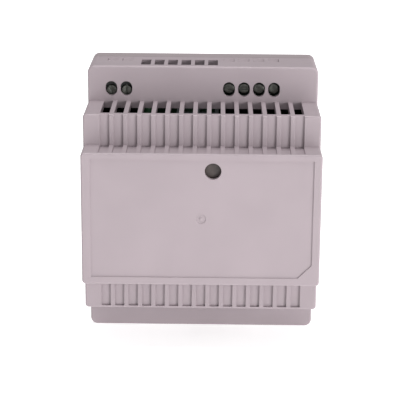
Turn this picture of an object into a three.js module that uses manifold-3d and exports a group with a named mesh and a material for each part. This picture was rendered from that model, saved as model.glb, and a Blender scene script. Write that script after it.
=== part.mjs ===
// DIN rail power supply in a stepped plastic housing, four modules wide.
// Units are millimetres. Seen from the front, +X is to the right, +Y goes back to the wall and
// +Z is up. The origin is the middle of the seat that rests on the front of the 35 mm rail.

import * as THREE from "three";
import { mergeVertices } from "three/addons/utils/BufferGeometryUtils.js";
import Module from "manifold-3d";

const wasm = await Module();
wasm.setup();

// ---------------------------------------------------------------- driving dimensions

const HALF_WIDTH = 39;
const TOP = 44.5;
const BOTTOM = -48.5;
const WALL = 2;
const GAP = 0.3;
const THROUGH = 1; // how far a cutting tool runs past the faces it opens
const ROUND_SIDES = 16;
const CORNER_STEPS = 5;
const SHARP_CORNER = 0.4;
const FINE_SIDES = 24;

// The housing steps forward three times: each step has its own front plane and height.
const SHOULDER = { front: -18.5, bottom: BOTTOM, top: TOP, corner: 2.4 };
const RIBBED_STEP = { front: -39.5, bottom: -34.5, top: 32.5, corner: 1.2 };
const FACE = { front: -50.5, bottom: -22.25, top: 22.25, corner: 1.2 };
const DECK_THICKNESS = 2.5;
const COVER_REAR = -1.5;
const BASE_FRONT = COVER_REAR + GAP;
const BACK = 5.5;

// Ribbed bands above and below the face, with the air slots behind their grooves.
const GROOVE_COUNT = 15;
const GROOVE_PITCH = 4.56;
const GROOVE_WIDTH = 3.1;
const GROOVE_DEPTH = 0.75;
const GROOVE_LIP = 0.8;
const LEDGE_MARGIN = 1;
const SLOT_FRONT = -37;

// Air slots in the top face.
const TOP_SLOT_COUNT = 6;
const TOP_SLOT_FIRST_X = -19.5;
const TOP_SLOT_PITCH = 4.57;
const TOP_SLOT_WIDTH = 3.3;
const TOP_SLOT_Y = [-15.8, -6.9];

// Label recess, moulding gate and indicator hole in the face.
const LABEL = { x: [-36, 36.4], z: [-19.7, 20.2], depth: 0.4, chamfer: 4.6 };
const GATE = { z: 0.4, radius: 1.6, depth: 0.25, nub: 0.5, nubSides: 8 };
const INDICATOR = { x: 3.76, z: 16.4, holeRadius: 2.7 };

// Rail seat: a 35 x 7.5 mm top hat rail, its flanges 1 mm thick.
const CHANNEL_HALF = 17.8;
const SEAT_HALF = 14.8;
const RELIEF = 0.3;
const HOOK = { z: 15.3, y: [1.4, 3.4], halfWidth: 34 };

// Terminals: the clamp screws face forward and the wires enter from above.
const POLE_PITCH = 5.08;
const WIRE_Y = [-8.8, -5.7];
const INPUT_TERMINALS = { poles: [-31, -31 + POLE_PITCH], front: -16.2, screwFront: -16, screwZ: 35.6 };
const OUTPUT_TERMINALS = {
  poles: [8.85, 8.85 + POLE_PITCH, 8.85 + 2 * POLE_PITCH, 8.85 + 3 * POLE_PITCH],
  front: -15,
  screwFront: -14.6,
  screwZ: 36.2,
};
const SCREW_HOLE = { z: 36.7, width: 4, height: 5 };
const FUNNEL = { halfWidth: 1.9, frontMargin: 0.4, neckDepth: 1.2, flare: 2.7 };
const BLOCK_Z = [30.4, 41.9];
const BLOCK_MARGIN = 0.4;

// Circuit board.
const BOARD = { x: [-35.2, 35.2], z: [-44.7, 40.7], y: [-4.4, -2.8] };
const PART_REAR = BOARD.y[0] - 2 * GAP;
const LEAD_END = BOARD.y[1] + 0.9;
const LEAD_WIDTH = 0.7;
const LEAD_HOLE = LEAD_WIDTH + 2 * GAP;
const BOARD_SCREWS = [
  [-12, 36],
  [32, 36],
  [-31, -40],
  [31, -40],
];
const SCREW_SHANK = 1.25;
const SCREW_HEAD = 2.75;
const CLEARANCE_HOLE = 1.6;
const BOSS = { radius: 3.2, floor: 0.4 };

// Sliding rail latch.
const LATCH_SLOT = { halfWidth: 11, neck: 8.5, y: [1.1, 3.8] };
const SLOT_ROOF = 1.7;
const LATCH = { y: [1.4, 3.5], rear: 5.2, top: -15.2, bottom: -46.2, halfWidth: 10.6 };
const LATCH_RIB = { halfWidth: 8.1, top: -21, overlap: 0.5 };
const LATCH_LEAD_IN = { height: 2.2, tip: 0.6 };
const DRIVER_SLOT = { halfWidth: 2.6, z: [-44.6, -42.2] };
const SPRING_WINDOW = { halfWidth: 3, z: [-39.6, -25] };
const SPRING_POST = { halfWidth: 2.4, z: [-39, -36.5], rear: 4.6 };
const SPRING = { radius: 1.5, wire: 0.25, turns: 6, y: 3.2 };

// Places of the parts on the board, as [x, z].
const PLACE = {
  fuse: [-29.5, 24.5],
  thermistor: [-18.5, 26],
  xCapacitor: [-30.7, 8],
  choke: [-15.3, 10.8],
  bulkCapacitor: [-23, -18],
  bridge: [-22, -35],
  transformer: [1.5, -14],
  transistor: [0, 24],
  diode: [33, -8],
  inductor: [20.5, 7.5],
  outputCapacitors: [
    [16, 23.7],
    [27, 23.7],
    [22.5, -20],
  ],
  optocoupler: [4, -34],
  yCapacitor: [-8, -34],
  controlBoard: [7, 9.75],
};

// ---------------------------------------------------------------- finishes

const FINISH = {
  housing: { color: 0xb5a8ad, roughness: 0.5, metalness: 0 },
  base: { color: 0xa99da1, roughness: 0.55, metalness: 0 },
  latch: { color: 0x2f3033, roughness: 0.5, metalness: 0 },
  inputBlock: { color: 0x15201a, roughness: 0.45, metalness: 0 },
  outputBlock: { color: 0x1c3a28, roughness: 0.45, metalness: 0 },
  steel: { color: 0xb4b5b2, roughness: 0.35, metalness: 1 },
  brass: { color: 0xc0a263, roughness: 0.35, metalness: 1 },
  board: { color: 0x2c5a3a, roughness: 0.55, metalness: 0 },
  black: { color: 0x1b1b1d, roughness: 0.5, metalness: 0 },
  smokedLens: { color: 0x564c4a, roughness: 0.3, metalness: 0 },
  ledResin: { color: 0x7ba06a, roughness: 0.3, metalness: 0 },
  sleeve: { color: 0x26282c, roughness: 0.35, metalness: 0 },
  yellowBox: { color: 0xd9b23a, roughness: 0.5, metalness: 0 },
  greenDisc: { color: 0x3f6b4a, roughness: 0.5, metalness: 0 },
  blueDisc: { color: 0x2f62a8, roughness: 0.45, metalness: 0 },
  ferrite: { color: 0x3b3b3e, roughness: 0.7, metalness: 0 },
  copper: { color: 0xb0672f, roughness: 0.35, metalness: 1 },
  tape: { color: 0xd8bd55, roughness: 0.4, metalness: 0 },
  aluminium: { color: 0xc3c5c8, roughness: 0.4, metalness: 1 },
};

// ---------------------------------------------------------------- solids

/** Turns a closed geometry into a solid that can be joined and cut. */
function solid(geometry) {
  const bare = geometry.clone();
  bare.deleteAttribute("normal");
  bare.deleteAttribute("uv");
  const merged = mergeVertices(bare);
  const mesh = new wasm.Mesh({
    numProp: 3,
    vertProperties: new Float32Array(merged.attributes.position.array),
    triVerts: new Uint32Array(merged.index.array),
  });
  return new wasm.Manifold(mesh);
}

/** Joins a list of solids. */
function join(solids) {
  return solids.reduce((whole, piece) => whole.add(piece));
}

/** Cuts every tool in a list out of a solid. */
function cut(body, tools) {
  return tools.length > 0 ? body.subtract(join(tools)) : body;
}

/** Box between two limits on each axis. */
function box([x0, x1], [y0, y1], [z0, z1]) {
  const geometry = new THREE.BoxGeometry(x1 - x0, y1 - y0, z1 - z0);
  geometry.translate((x0 + x1) / 2, (y0 + y1) / 2, (z0 + z1) / 2);
  return solid(geometry);
}

/** The limits that lie a given distance either side of a middle. */
function around(middle, half) {
  return [middle - half, middle + half];
}

/** Round bar along Y. */
function rodY(radius, [y0, y1], [x, z], sides = ROUND_SIDES) {
  const geometry = new THREE.CylinderGeometry(radius, radius, y1 - y0, sides);
  geometry.translate(x, (y0 + y1) / 2, z);
  return solid(geometry);
}

/** Round bar along X. */
function rodX(radius, [x0, x1], [y, z], sides = ROUND_SIDES) {
  const geometry = new THREE.CylinderGeometry(radius, radius, x1 - x0, sides);
  geometry.rotateZ(Math.PI / 2);
  geometry.translate((x0 + x1) / 2, y, z);
  return solid(geometry);
}

/** Round bar along Z. */
function rodZ(radius, [z0, z1], [x, y], sides = ROUND_SIDES) {
  const geometry = new THREE.CylinderGeometry(radius, radius, z1 - z0, sides);
  geometry.rotateX(Math.PI / 2);
  geometry.translate(x, y, (z0 + z1) / 2);
  return solid(geometry);
}

/** Turned part about a Y axis: the profile lists [radius, y] from the front end to the rear. */
function turned(profile, [x, z], sides = ROUND_SIDES) {
  const points = profile.map(([radius, y]) => new THREE.Vector2(radius, y));
  const geometry = new THREE.LatheGeometry(points, sides);
  geometry.translate(x, 0, z);
  return solid(geometry);
}

/** Outline in XZ with round corners. */
function roundedRectangle([x0, x1], [z0, z1], radius) {
  const quarter = Math.PI / 2;
  const shape = new THREE.Shape();
  shape.absarc(x1 - radius, z1 - radius, radius, 0, quarter);
  shape.absarc(x0 + radius, z1 - radius, radius, quarter, 2 * quarter);
  shape.absarc(x0 + radius, z0 + radius, radius, 2 * quarter, 3 * quarter);
  shape.absarc(x1 - radius, z0 + radius, radius, 3 * quarter, 4 * quarter);
  return shape;
}

/** Upright slot outline in XZ with half-round ends. */
function slotOutline(x, z, width, height) {
  const radius = width / 2;
  const straight = height / 2 - radius;
  const shape = new THREE.Shape();
  shape.absarc(x, z + straight, radius, 0, Math.PI);
  shape.absarc(x, z - straight, radius, Math.PI, 2 * Math.PI);
  return shape;
}

/** Plate whose outline lies in XZ, between two depths. */
function plateY(shape, [y0, y1], steps = CORNER_STEPS) {
  const settings = { depth: y1 - y0, bevelEnabled: false, curveSegments: steps };
  const geometry = new THREE.ExtrudeGeometry(shape, settings);
  geometry.translate(0, 0, -y1);
  geometry.rotateX(Math.PI / 2);
  return solid(geometry);
}

/** Bar whose section is a list of [y, z] corners, along X. */
function barX(corners, [x0, x1]) {
  const shape = new THREE.Shape(corners.map(([y, z]) => new THREE.Vector2(y, z)));
  const geometry = new THREE.ExtrudeGeometry(shape, { depth: x1 - x0, bevelEnabled: false });
  geometry.translate(0, 0, x0);
  const along = new THREE.Vector3(1, 0, 0);
  const sectionY = new THREE.Vector3(0, 1, 0);
  const sectionZ = new THREE.Vector3(0, 0, 1);
  geometry.applyMatrix4(new THREE.Matrix4().makeBasis(sectionY, sectionZ, along));
  return solid(geometry);
}

/** Coil along Z, as one bar of round wire. */
function coil({ radius, wire, turns, y }, [z0, z1]) {
  class Helix extends THREE.Curve {
    getPoint(t, target = new THREE.Vector3()) {
      const angle = 2 * Math.PI * turns * t;
      return target.set(radius * Math.cos(angle), y + radius * Math.sin(angle), z0 + (z1 - z0) * t);
    }
  }
  const section = new THREE.Shape().absarc(0, 0, wire, 0, 2 * Math.PI);
  const settings = { steps: 10 * turns, curveSegments: 3, bevelEnabled: false, extrudePath: new Helix() };
  return solid(new THREE.ExtrudeGeometry(section, settings));
}

/** Adds a named part to a group. */
function addPart(group, name, body, finish) {
  const { numProp, vertProperties, triVerts } = body.getMesh();
  const geometry = new THREE.BufferGeometry();
  geometry.setAttribute("position", new THREE.BufferAttribute(new Float32Array(vertProperties), numProp));
  geometry.setIndex(new THREE.BufferAttribute(new Uint32Array(triVerts), 1));
  geometry.computeVertexNormals();
  const mesh = new THREE.Mesh(geometry, new THREE.MeshStandardMaterial(finish));
  mesh.name = name;
  group.add(mesh);
}

// ---------------------------------------------------------------- snap joint between the shells

const TONGUE = { half: 3, thickness: 1.2, front: -6.4, bead: 0.7, beadY: [-6.2, -5] };

/** One snap tongue of the base: its wall direction, and where it stands along that wall. */
const TONGUES = [
  { axis: "z", wall: TOP - WALL, sign: 1, at: -9 },
  { axis: "z", wall: TOP - WALL, sign: 1, at: 32 },
  { axis: "z", wall: BOTTOM + WALL, sign: -1, at: -20 },
  { axis: "z", wall: BOTTOM + WALL, sign: -1, at: 20 },
  { axis: "x", wall: HALF_WIDTH - WALL, sign: 1, at: 26 },
  { axis: "x", wall: HALF_WIDTH - WALL, sign: 1, at: -30 },
  { axis: "x", wall: -HALF_WIDTH + WALL, sign: -1, at: 26 },
  { axis: "x", wall: -HALF_WIDTH + WALL, sign: -1, at: -30 },
];

/** Box beside a housing wall, from one distance inside the wall's inner face to another. */
function besideWall({ axis, wall, sign, at }, [inner, outer], yRange, half) {
  const across = [wall + sign * inner, wall + sign * outer].sort((a, b) => a - b);
  const along = around(at, half);
  return axis === "z" ? box(along, yRange, across) : box(across, yRange, along);
}

function snapTongue(place) {
  const { half, thickness, front, bead, beadY } = TONGUE;
  const root = besideWall(place, [-GAP - thickness, WALL / 2], [BASE_FRONT, BACK - WALL / 2], half);
  const blade = besideWall(place, [-GAP - thickness, -GAP], [front, BASE_FRONT + 1], half);
  const catchBead = besideWall(place, [-GAP - thickness, -GAP + bead], beadY, half - 1);
  return join([root, blade, catchBead]);
}

function snapPocket(place) {
  const { half, bead, beadY } = TONGUE;
  return besideWall(place, [-GAP, bead + 0.1], [beadY[0] - GAP, beadY[1] + GAP], half);
}

// ---------------------------------------------------------------- front cover

/** One step of the housing, from its front plane to the cover's rear edge. */
function outerStep({ front, bottom, top, corner }) {
  const outline = roundedRectangle([-HALF_WIDTH, HALF_WIDTH], [bottom, top], corner);
  return plateY(outline, [front, COVER_REAR]);
}

/** The hollow inside one step, under walls of one thickness and a top of another. */
function innerStep({ front, bottom, top, corner }, topThickness = WALL) {
  const outline = roundedRectangle(
    [-HALF_WIDTH + WALL, HALF_WIDTH - WALL],
    [bottom + WALL, top - topThickness],
    Math.max(corner - WALL, SHARP_CORNER),
  );
  return plateY(outline, [front + WALL, COVER_REAR + THROUGH], 1);
}

function grooveCentres() {
  return Array.from({ length: GROOVE_COUNT }, (_, i) => (i - (GROOVE_COUNT - 1) / 2) * GROOVE_PITCH);
}

/** Grooves down a ribbed band, running on as shallow channels over the face's ledge. */
function grooveTools() {
  const floor = RIBBED_STEP.front + GROOVE_DEPTH;
  const ledge = [FACE.front + LEDGE_MARGIN, floor];
  const band = [RIBBED_STEP.front - THROUGH, floor];
  return grooveCentres().flatMap((x) => {
    const width = around(x, GROOVE_WIDTH / 2);
    return [
      box(width, ledge, [FACE.top - GROOVE_DEPTH, FACE.top + THROUGH]),
      box(width, band, [FACE.top - GROOVE_DEPTH, RIBBED_STEP.top + THROUGH]),
      box(width, ledge, [FACE.bottom - THROUGH, FACE.bottom + GROOVE_DEPTH]),
      box(width, band, [RIBBED_STEP.bottom + GROOVE_LIP, FACE.bottom]),
    ];
  });
}

/** Air slots through the upper deck and through the matching underside. */
function deckSlotTools() {
  const depth = [SLOT_FRONT, SHOULDER.front];
  return grooveCentres().flatMap((x) => {
    const width = around(x, GROOVE_WIDTH / 2);
    return [
      box(width, depth, [RIBBED_STEP.top - DECK_THICKNESS - THROUGH, RIBBED_STEP.top + THROUGH]),
      box(width, depth, [RIBBED_STEP.bottom - THROUGH, RIBBED_STEP.bottom + WALL + THROUGH]),
    ];
  });
}

function topSlotTools() {
  return Array.from({ length: TOP_SLOT_COUNT }, (_, i) => {
    const x = TOP_SLOT_FIRST_X + i * TOP_SLOT_PITCH;
    return box(around(x, TOP_SLOT_WIDTH / 2), TOP_SLOT_Y, [TOP - WALL - THROUGH, TOP + THROUGH]);
  });
}

/** Screwdriver hole in the shoulder and wire funnel in the top, for one pole. */
function terminalTools(x) {
  const outline = slotOutline(x, SCREW_HOLE.z, SCREW_HOLE.width, SCREW_HOLE.height);
  const screwHole = plateY(outline, [SHOULDER.front - THROUGH, SHOULDER.front + WALL + THROUGH]);
  const front = WIRE_Y[0] - FUNNEL.frontMargin;
  const rear = WIRE_Y[1];
  const mouthRear = rear + FUNNEL.flare;
  const neckTop = TOP - FUNNEL.neckDepth;
  const section = [
    [front, TOP - WALL - THROUGH],
    [rear, TOP - WALL - THROUGH],
    [rear, neckTop],
    [mouthRear, TOP],
    [mouthRear, TOP + THROUGH],
    [front, TOP + THROUGH],
  ];
  const funnel = barX(section, around(x, FUNNEL.halfWidth));
  return [screwHole, funnel];
}

function labelRecess() {
  const { x, z, depth, chamfer } = LABEL;
  const shape = new THREE.Shape();
  shape.moveTo(x[0], z[0]);
  shape.lineTo(x[1] - chamfer, z[0]);
  shape.lineTo(x[1], z[0] + chamfer);
  shape.lineTo(x[1], z[1]);
  shape.lineTo(x[0], z[1]);
  shape.closePath();
  return plateY(shape, [FACE.front - THROUGH, FACE.front + depth]);
}

/** Ring-shaped dimple round the moulding gate, with the gate's nub left in its middle. */
function gateDimple() {
  const floor = FACE.front + LABEL.depth;
  const ring = rodY(GATE.radius, [floor - THROUGH, floor + GATE.depth], [0, GATE.z]);
  const nub = rodY(GATE.nub, [floor - 2 * THROUGH, floor + THROUGH], [0, GATE.z], GATE.nubSides);
  return ring.subtract(nub);
}

function frontCover() {
  const shell = join([outerStep(SHOULDER), outerStep(RIBBED_STEP), outerStep(FACE)]);
  const indicatorHole = rodY(
    INDICATOR.holeRadius,
    [FACE.front - THROUGH, FACE.front + WALL + THROUGH],
    [INDICATOR.x, INDICATOR.z],
    FINE_SIDES,
  );
  const poles = [...INPUT_TERMINALS.poles, ...OUTPUT_TERMINALS.poles];
  return cut(shell, [
    innerStep(SHOULDER),
    innerStep(RIBBED_STEP, DECK_THICKNESS),
    innerStep(FACE),
    ...grooveTools(),
    ...deckSlotTools(),
    ...topSlotTools(),
    ...poles.flatMap(terminalTools),
    ...TONGUES.map(snapPocket),
    labelRecess(),
    gateDimple(),
    indicatorHole,
  ]);
}

// ---------------------------------------------------------------- rear base

/** Slot that the latch slides in: wide at the bottom, with lips over the latch's edges. */
function latchSlot() {
  const zRange = [BOTTOM - THROUGH, -CHANNEL_HALF + THROUGH];
  const wide = box(around(0, LATCH_SLOT.halfWidth), LATCH_SLOT.y, zRange);
  const neck = box(around(0, LATCH_SLOT.neck), [LATCH_SLOT.y[1] - 0.1, BACK + THROUGH], zRange);
  return wide.add(neck);
}

function rearBase() {
  const side = HALF_WIDTH - WALL;
  const channelWall = CHANNEL_HALF + WALL;
  const outline = roundedRectangle([-HALF_WIDTH, HALF_WIDTH], [BOTTOM, TOP], SHOULDER.corner);
  const inside = roundedRectangle([-side, side], [BOTTOM + WALL, TOP - WALL], SHARP_CORNER);
  const hollow = plateY(inside, [BASE_FRONT - THROUGH, BACK - WALL], 1);
  const tray = plateY(outline, [BASE_FRONT, BACK]).subtract(hollow);
  const trough = box(around(0, side + WALL / 2), [BASE_FRONT, BACK], around(0, channelWall));
  const slotHousing = box(
    around(0, LATCH_SLOT.halfWidth + WALL),
    [LATCH_SLOT.y[0] - SLOT_ROOF, BACK - WALL / 2],
    [BOTTOM + WALL / 2, -CHANNEL_HALF - WALL / 2],
  );
  const bosses = BOARD_SCREWS.map((place) =>
    rodY(BOSS.radius, [BOARD.y[1] + GAP, BACK - WALL / 2], place),
  );
  const body = join([tray, trough, slotHousing, ...bosses, ...TONGUES.map(snapTongue)]);

  const across = around(0, HALF_WIDTH + THROUGH);
  const channel = box(across, [0, BACK + THROUGH], around(0, CHANNEL_HALF));
  const reliefs = [
    box(across, [-RELIEF, THROUGH], [SEAT_HALF, CHANNEL_HALF]),
    box(across, [-RELIEF, THROUGH], [-CHANNEL_HALF, -SEAT_HALF]),
  ];
  const screwHoles = BOARD_SCREWS.map((place) =>
    rodY(SCREW_SHANK + GAP, [BOARD.y[1] - THROUGH, BACK - WALL - BOSS.floor], place),
  );
  const hollowed = cut(body, [channel, ...reliefs, latchSlot(), ...screwHoles]);

  const hook = box(around(0, HOOK.halfWidth), HOOK.y, [HOOK.z, channelWall - WALL / 2]);
  const postRoot = LATCH_SLOT.y[0] - SLOT_ROOF / 2;
  const post = box(around(0, SPRING_POST.halfWidth), [postRoot, SPRING_POST.rear], SPRING_POST.z);
  return join([hollowed, hook, post]);
}

// ---------------------------------------------------------------- rail latch

function railLatch() {
  const { y, rear, top, bottom, halfWidth } = LATCH;
  const section = [
    [y[0], bottom],
    [y[1], bottom],
    [y[1], top - LATCH_LEAD_IN.height],
    [y[0] + LATCH_LEAD_IN.tip, top],
    [y[0], top],
  ];
  const plate = barX(section, around(0, halfWidth));
  const ribDepth = [y[1] - LATCH_RIB.overlap, rear];
  const raised = box(around(0, LATCH_RIB.halfWidth), ribDepth, [bottom, LATCH_RIB.top]);
  const through = [y[0] - THROUGH, rear + THROUGH];
  const springWindow = box(around(0, SPRING_WINDOW.halfWidth), through, SPRING_WINDOW.z);
  const driverSlot = box(around(0, DRIVER_SLOT.halfWidth), through, DRIVER_SLOT.z);
  return cut(plate.add(raised), [springWindow, driverSlot]);
}

function latchSpring() {
  const clear = SPRING.wire + GAP;
  return coil(SPRING, [SPRING_POST.z[1] + clear, SPRING_WINDOW.z[1] - clear]);
}

// ---------------------------------------------------------------- terminals

const CLAMP = {
  chamber: { half: 2.2, height: 2.5, y: [-12.8, -5.2] },
  bearing: -13.3,
  shankRadius: 1.1,
  tipBevel: 0.4,
  headRadius: 1.8,
  headBevel: 0.3,
  headRear: -13.6,
  slot: { width: 0.7, depth: 0.6 },
  wireHalf: 1.6,
  cage: { half: 1.9, inner: 1.4, height: 2, front: [-10.7, -9.8], rear: [-6.1, -5.5] },
  bar: { half: 1.1, y: [-9.5, -8.7], tail: [31, 31.8] },
};

/** Moulded block with a chamber, a screw shaft and a wire entry for each pole. */
function terminalBlock({ poles, front, screwZ }) {
  const { chamber, bearing, shankRadius, headRadius, wireHalf, bar } = CLAMP;
  const margin = POLE_PITCH / 2 + BLOCK_MARGIN;
  const rear = BOARD.y[0] - GAP;
  const body = box([poles[0] - margin, poles[poles.length - 1] + margin], [front, rear], BLOCK_Z);
  const tools = poles.flatMap((x) => [
    rodY(headRadius + GAP, [front - THROUGH, bearing], [x, screwZ]),
    rodY(shankRadius + GAP, [bearing - THROUGH, chamber.y[0] + THROUGH], [x, screwZ]),
    box(around(x, chamber.half), chamber.y, around(screwZ, chamber.height)),
    box(around(x, wireHalf), WIRE_Y, [screwZ, BLOCK_Z[1] + THROUGH]),
    box(around(x, bar.half + GAP), [bar.y[0] - GAP, bar.y[1] + GAP], [BLOCK_Z[0] - THROUGH, screwZ]),
    box(around(x, bar.half + GAP), [bar.y[1], rear + THROUGH], [BLOCK_Z[0] - THROUGH, bar.tail[1] + GAP]),
  ]);
  return cut(body, tools);
}

/** Slotted clamp screw: its tip bears on the contact bar, so it turns without travelling. */
function clampScrew(x, { screwFront, screwZ }, slotAngle) {
  const { headRadius, headBevel, headRear, shankRadius, tipBevel, slot, bar } = CLAMP;
  const tip = bar.y[0] - GAP;
  const profile = [
    [0, screwFront],
    [headRadius - headBevel, screwFront],
    [headRadius, screwFront + headBevel],
    [headRadius, headRear],
    [shankRadius, headRear],
    [shankRadius, tip - tipBevel],
    [shankRadius - tipBevel, tip],
    [0, tip],
  ];
  const slotTool = new THREE.BoxGeometry(2 * headRadius + THROUGH, 2 * slot.depth, slot.width);
  slotTool.rotateY(slotAngle);
  slotTool.translate(x, screwFront, screwZ);
  return turned(profile, [x, screwZ]).subtract(solid(slotTool));
}

/** Open-ended sleeve, tapped for the screw, that draws the wire up to the contact bar. */
function clampCage(x, { screwZ }) {
  const { half, inner, height, front, rear } = CLAMP.cage;
  const zRange = around(screwZ, height);
  const sleeve = box(around(x, half), [front[0], rear[1]], zRange);
  const wireWay = box(around(x, inner), [front[1], rear[0]], around(screwZ, height + THROUGH));
  const thread = rodY(CLAMP.shankRadius + GAP, [front[0] - THROUGH, front[1] + THROUGH], [x, screwZ]);
  return cut(sleeve, [wireWay, thread]);
}

/** Strip that the wire is pressed against, bent back at its foot into the board. */
function contactBar(x, { screwZ }) {
  const { half, y, tail } = CLAMP.bar;
  const strip = box(around(x, half), y, [tail[0], screwZ + CLAMP.cage.height]);
  const foot = box(around(x, LEAD_WIDTH / 2), [y[0], LEAD_END], tail);
  return strip.add(foot);
}

function addTerminals(group, side, terminals, blockFinish, slotAngles) {
  addPart(group, `${side}_terminal_block`, terminalBlock(terminals), blockFinish);
  terminals.poles.forEach((x, i) => {
    const pole = `${side}_${i + 1}`;
    addPart(group, `clamp_screw_${pole}`, clampScrew(x, terminals, slotAngles[i]), FINISH.steel);
    addPart(group, `clamp_cage_${pole}`, clampCage(x, terminals), FINISH.steel);
    addPart(group, `contact_bar_${pole}`, contactBar(x, terminals), FINISH.brass);
  });
}

// ---------------------------------------------------------------- leads and boards

/** Square leads from a part's underside through the board, at a list of [x, z] places. */
function leads(places, from = PART_REAR - 0.5) {
  const half = LEAD_WIDTH / 2;
  return places.map(([x, z]) => box(around(x, half), [from, LEAD_END], around(z, half)));
}

/** Places in a row through a middle, along x or along z. */
function row([x, z], count, pitch, axis) {
  return Array.from({ length: count }, (_, i) => {
    const shift = (i - (count - 1) / 2) * pitch;
    return axis === "x" ? [x + shift, z] : [x, z + shift];
  });
}

const FLANGE_MIDDLE = 7.9;
const OPTOCOUPLER = { half: [3.2, 2.3], body: [3.6, 0.2], shelf: [2.2, 1.7], legX: 3.81, legZ: 1.27 };
const LEADS = {
  fuse: row(PLACE.fuse, 2, 5.08, "x"),
  thermistor: row(PLACE.thermistor, 2, 5, "z"),
  xCapacitor: row(PLACE.xCapacitor, 2, 12.5, "z"),
  chokeLeft: row([PLACE.choke[0] - 5, PLACE.choke[1]], 2, 11, "z"),
  chokeRight: row([PLACE.choke[0] + 5, PLACE.choke[1]], 2, 11, "z"),
  bulkCapacitor: row(PLACE.bulkCapacitor, 2, 10, "x"),
  bridge: row(PLACE.bridge, 4, 3.8, "x"),
  transformer: [-1, 1].flatMap((end) =>
    [-8, -5.6, 5.6, 8].map((z) => [PLACE.transformer[0] + end * FLANGE_MIDDLE, PLACE.transformer[1] + z]),
  ),
  transistor: row([PLACE.transistor[0], PLACE.transistor[1] - 3], 3, 2.54, "x"),
  diode: row([PLACE.diode[0] - 3, PLACE.diode[1]], 3, 2.54, "z"),
  inductor: row([PLACE.inductor[0], PLACE.inductor[1] - 8], 2, 6, "x"),
  optocoupler: [-OPTOCOUPLER.legZ, OPTOCOUPLER.legZ].flatMap((z) =>
    row([PLACE.optocoupler[0], PLACE.optocoupler[1] + z], 2, 2 * OPTOCOUPLER.legX, "x"),
  ),
  yCapacitor: row(PLACE.yCapacitor, 2, 7.5, "x"),
};
const OUTPUT_CAPACITOR_LEADS = PLACE.outputCapacitors.map((place) => row(place, 2, 5, "x"));

const CONTROL = { thickness: 1.6, front: -42, half: 9.75, tabs: [-5, 5], tabHalf: 1.6 };

function mainBoard() {
  const plate = box(BOARD.x, BOARD.y, BOARD.z);
  const through = [BOARD.y[0] - THROUGH, BOARD.y[1] + THROUGH];
  const leadPlaces = [...Object.values(LEADS).flat(), ...OUTPUT_CAPACITOR_LEADS.flat()];
  const holes = leadPlaces.map(([x, z]) =>
    box(around(x, LEAD_HOLE / 2), through, around(z, LEAD_HOLE / 2)),
  );
  const [tailLow, tailHigh] = CLAMP.bar.tail;
  const poles = [...INPUT_TERMINALS.poles, ...OUTPUT_TERMINALS.poles];
  const tailHoles = poles.map((x) =>
    box(around(x, LEAD_HOLE / 2), through, [tailLow - GAP, tailHigh + GAP]),
  );
  const screwHoles = BOARD_SCREWS.map((place) => rodY(CLEARANCE_HOLE, through, place));
  const [controlX, controlZ] = PLACE.controlBoard;
  const tabSlots = CONTROL.tabs.map((z) =>
    box(
      [controlX - GAP, controlX + CONTROL.thickness + GAP],
      through,
      around(controlZ + z, CONTROL.tabHalf + GAP),
    ),
  );
  return cut(plate, [...holes, ...tailHoles, ...screwHoles, ...tabSlots]);
}

const LED_LEADS = { y: -37.4, z: [INDICATOR.z - 1.27, INDICATOR.z + 1.27], half: 0.25 };

/** Upright board behind the indicator, its two tabs through the main board. */
function controlBoard() {
  const [x, z] = PLACE.controlBoard;
  const thickness = [x, x + CONTROL.thickness];
  const plate = box(thickness, [CONTROL.front, BOARD.y[0] - GAP], around(z, CONTROL.half));
  const tabs = CONTROL.tabs.map((shift) =>
    box(thickness, [BOARD.y[0] - 1, LEAD_END], around(z + shift, CONTROL.tabHalf)),
  );
  const reach = [x - THROUGH, x + CONTROL.thickness + THROUGH];
  const holes = LED_LEADS.z.map((leadZ) =>
    box(reach, around(LED_LEADS.y, LED_LEADS.half + GAP), around(leadZ, LED_LEADS.half + GAP)),
  );
  return cut(join([plate, ...tabs]), holes);
}

const BOARD_SCREW = {
  head: 2,
  crown: 0.8,
  point: 0.5,
  tipMargin: 0.7,
  recess: { arm: 1.5, width: 0.7, depth: 1 },
};

/** Cross-recessed screw that holds the main board to a boss. */
function boardScrew([x, z]) {
  const underHead = BOARD.y[0] - GAP;
  const headFront = underHead - BOARD_SCREW.head;
  const tip = BACK - WALL - BOARD_SCREW.tipMargin;
  const profile = [
    [0, headFront],
    [SCREW_HEAD - BOARD_SCREW.crown, headFront],
    [SCREW_HEAD, headFront + BOARD_SCREW.crown],
    [SCREW_HEAD, underHead],
    [SCREW_SHANK, underHead],
    [SCREW_SHANK, tip - BOARD_SCREW.point],
    [0, tip],
  ];
  const { arm, width, depth } = BOARD_SCREW.recess;
  const recessDepth = [headFront - THROUGH, headFront + depth];
  const recess = [
    box(around(x, arm), recessDepth, around(z, width / 2)),
    box(around(x, width / 2), recessDepth, around(z, arm)),
  ];
  return cut(turned(profile, [x, z]), recess);
}

// ---------------------------------------------------------------- indicator

const LED = { radius: 2.5, flange: 2.9, flangeDepth: 1, rear: -39.6, shoulder: -46.1, dome: 1.1 };
const DOME_STEPS = 3;

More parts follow.
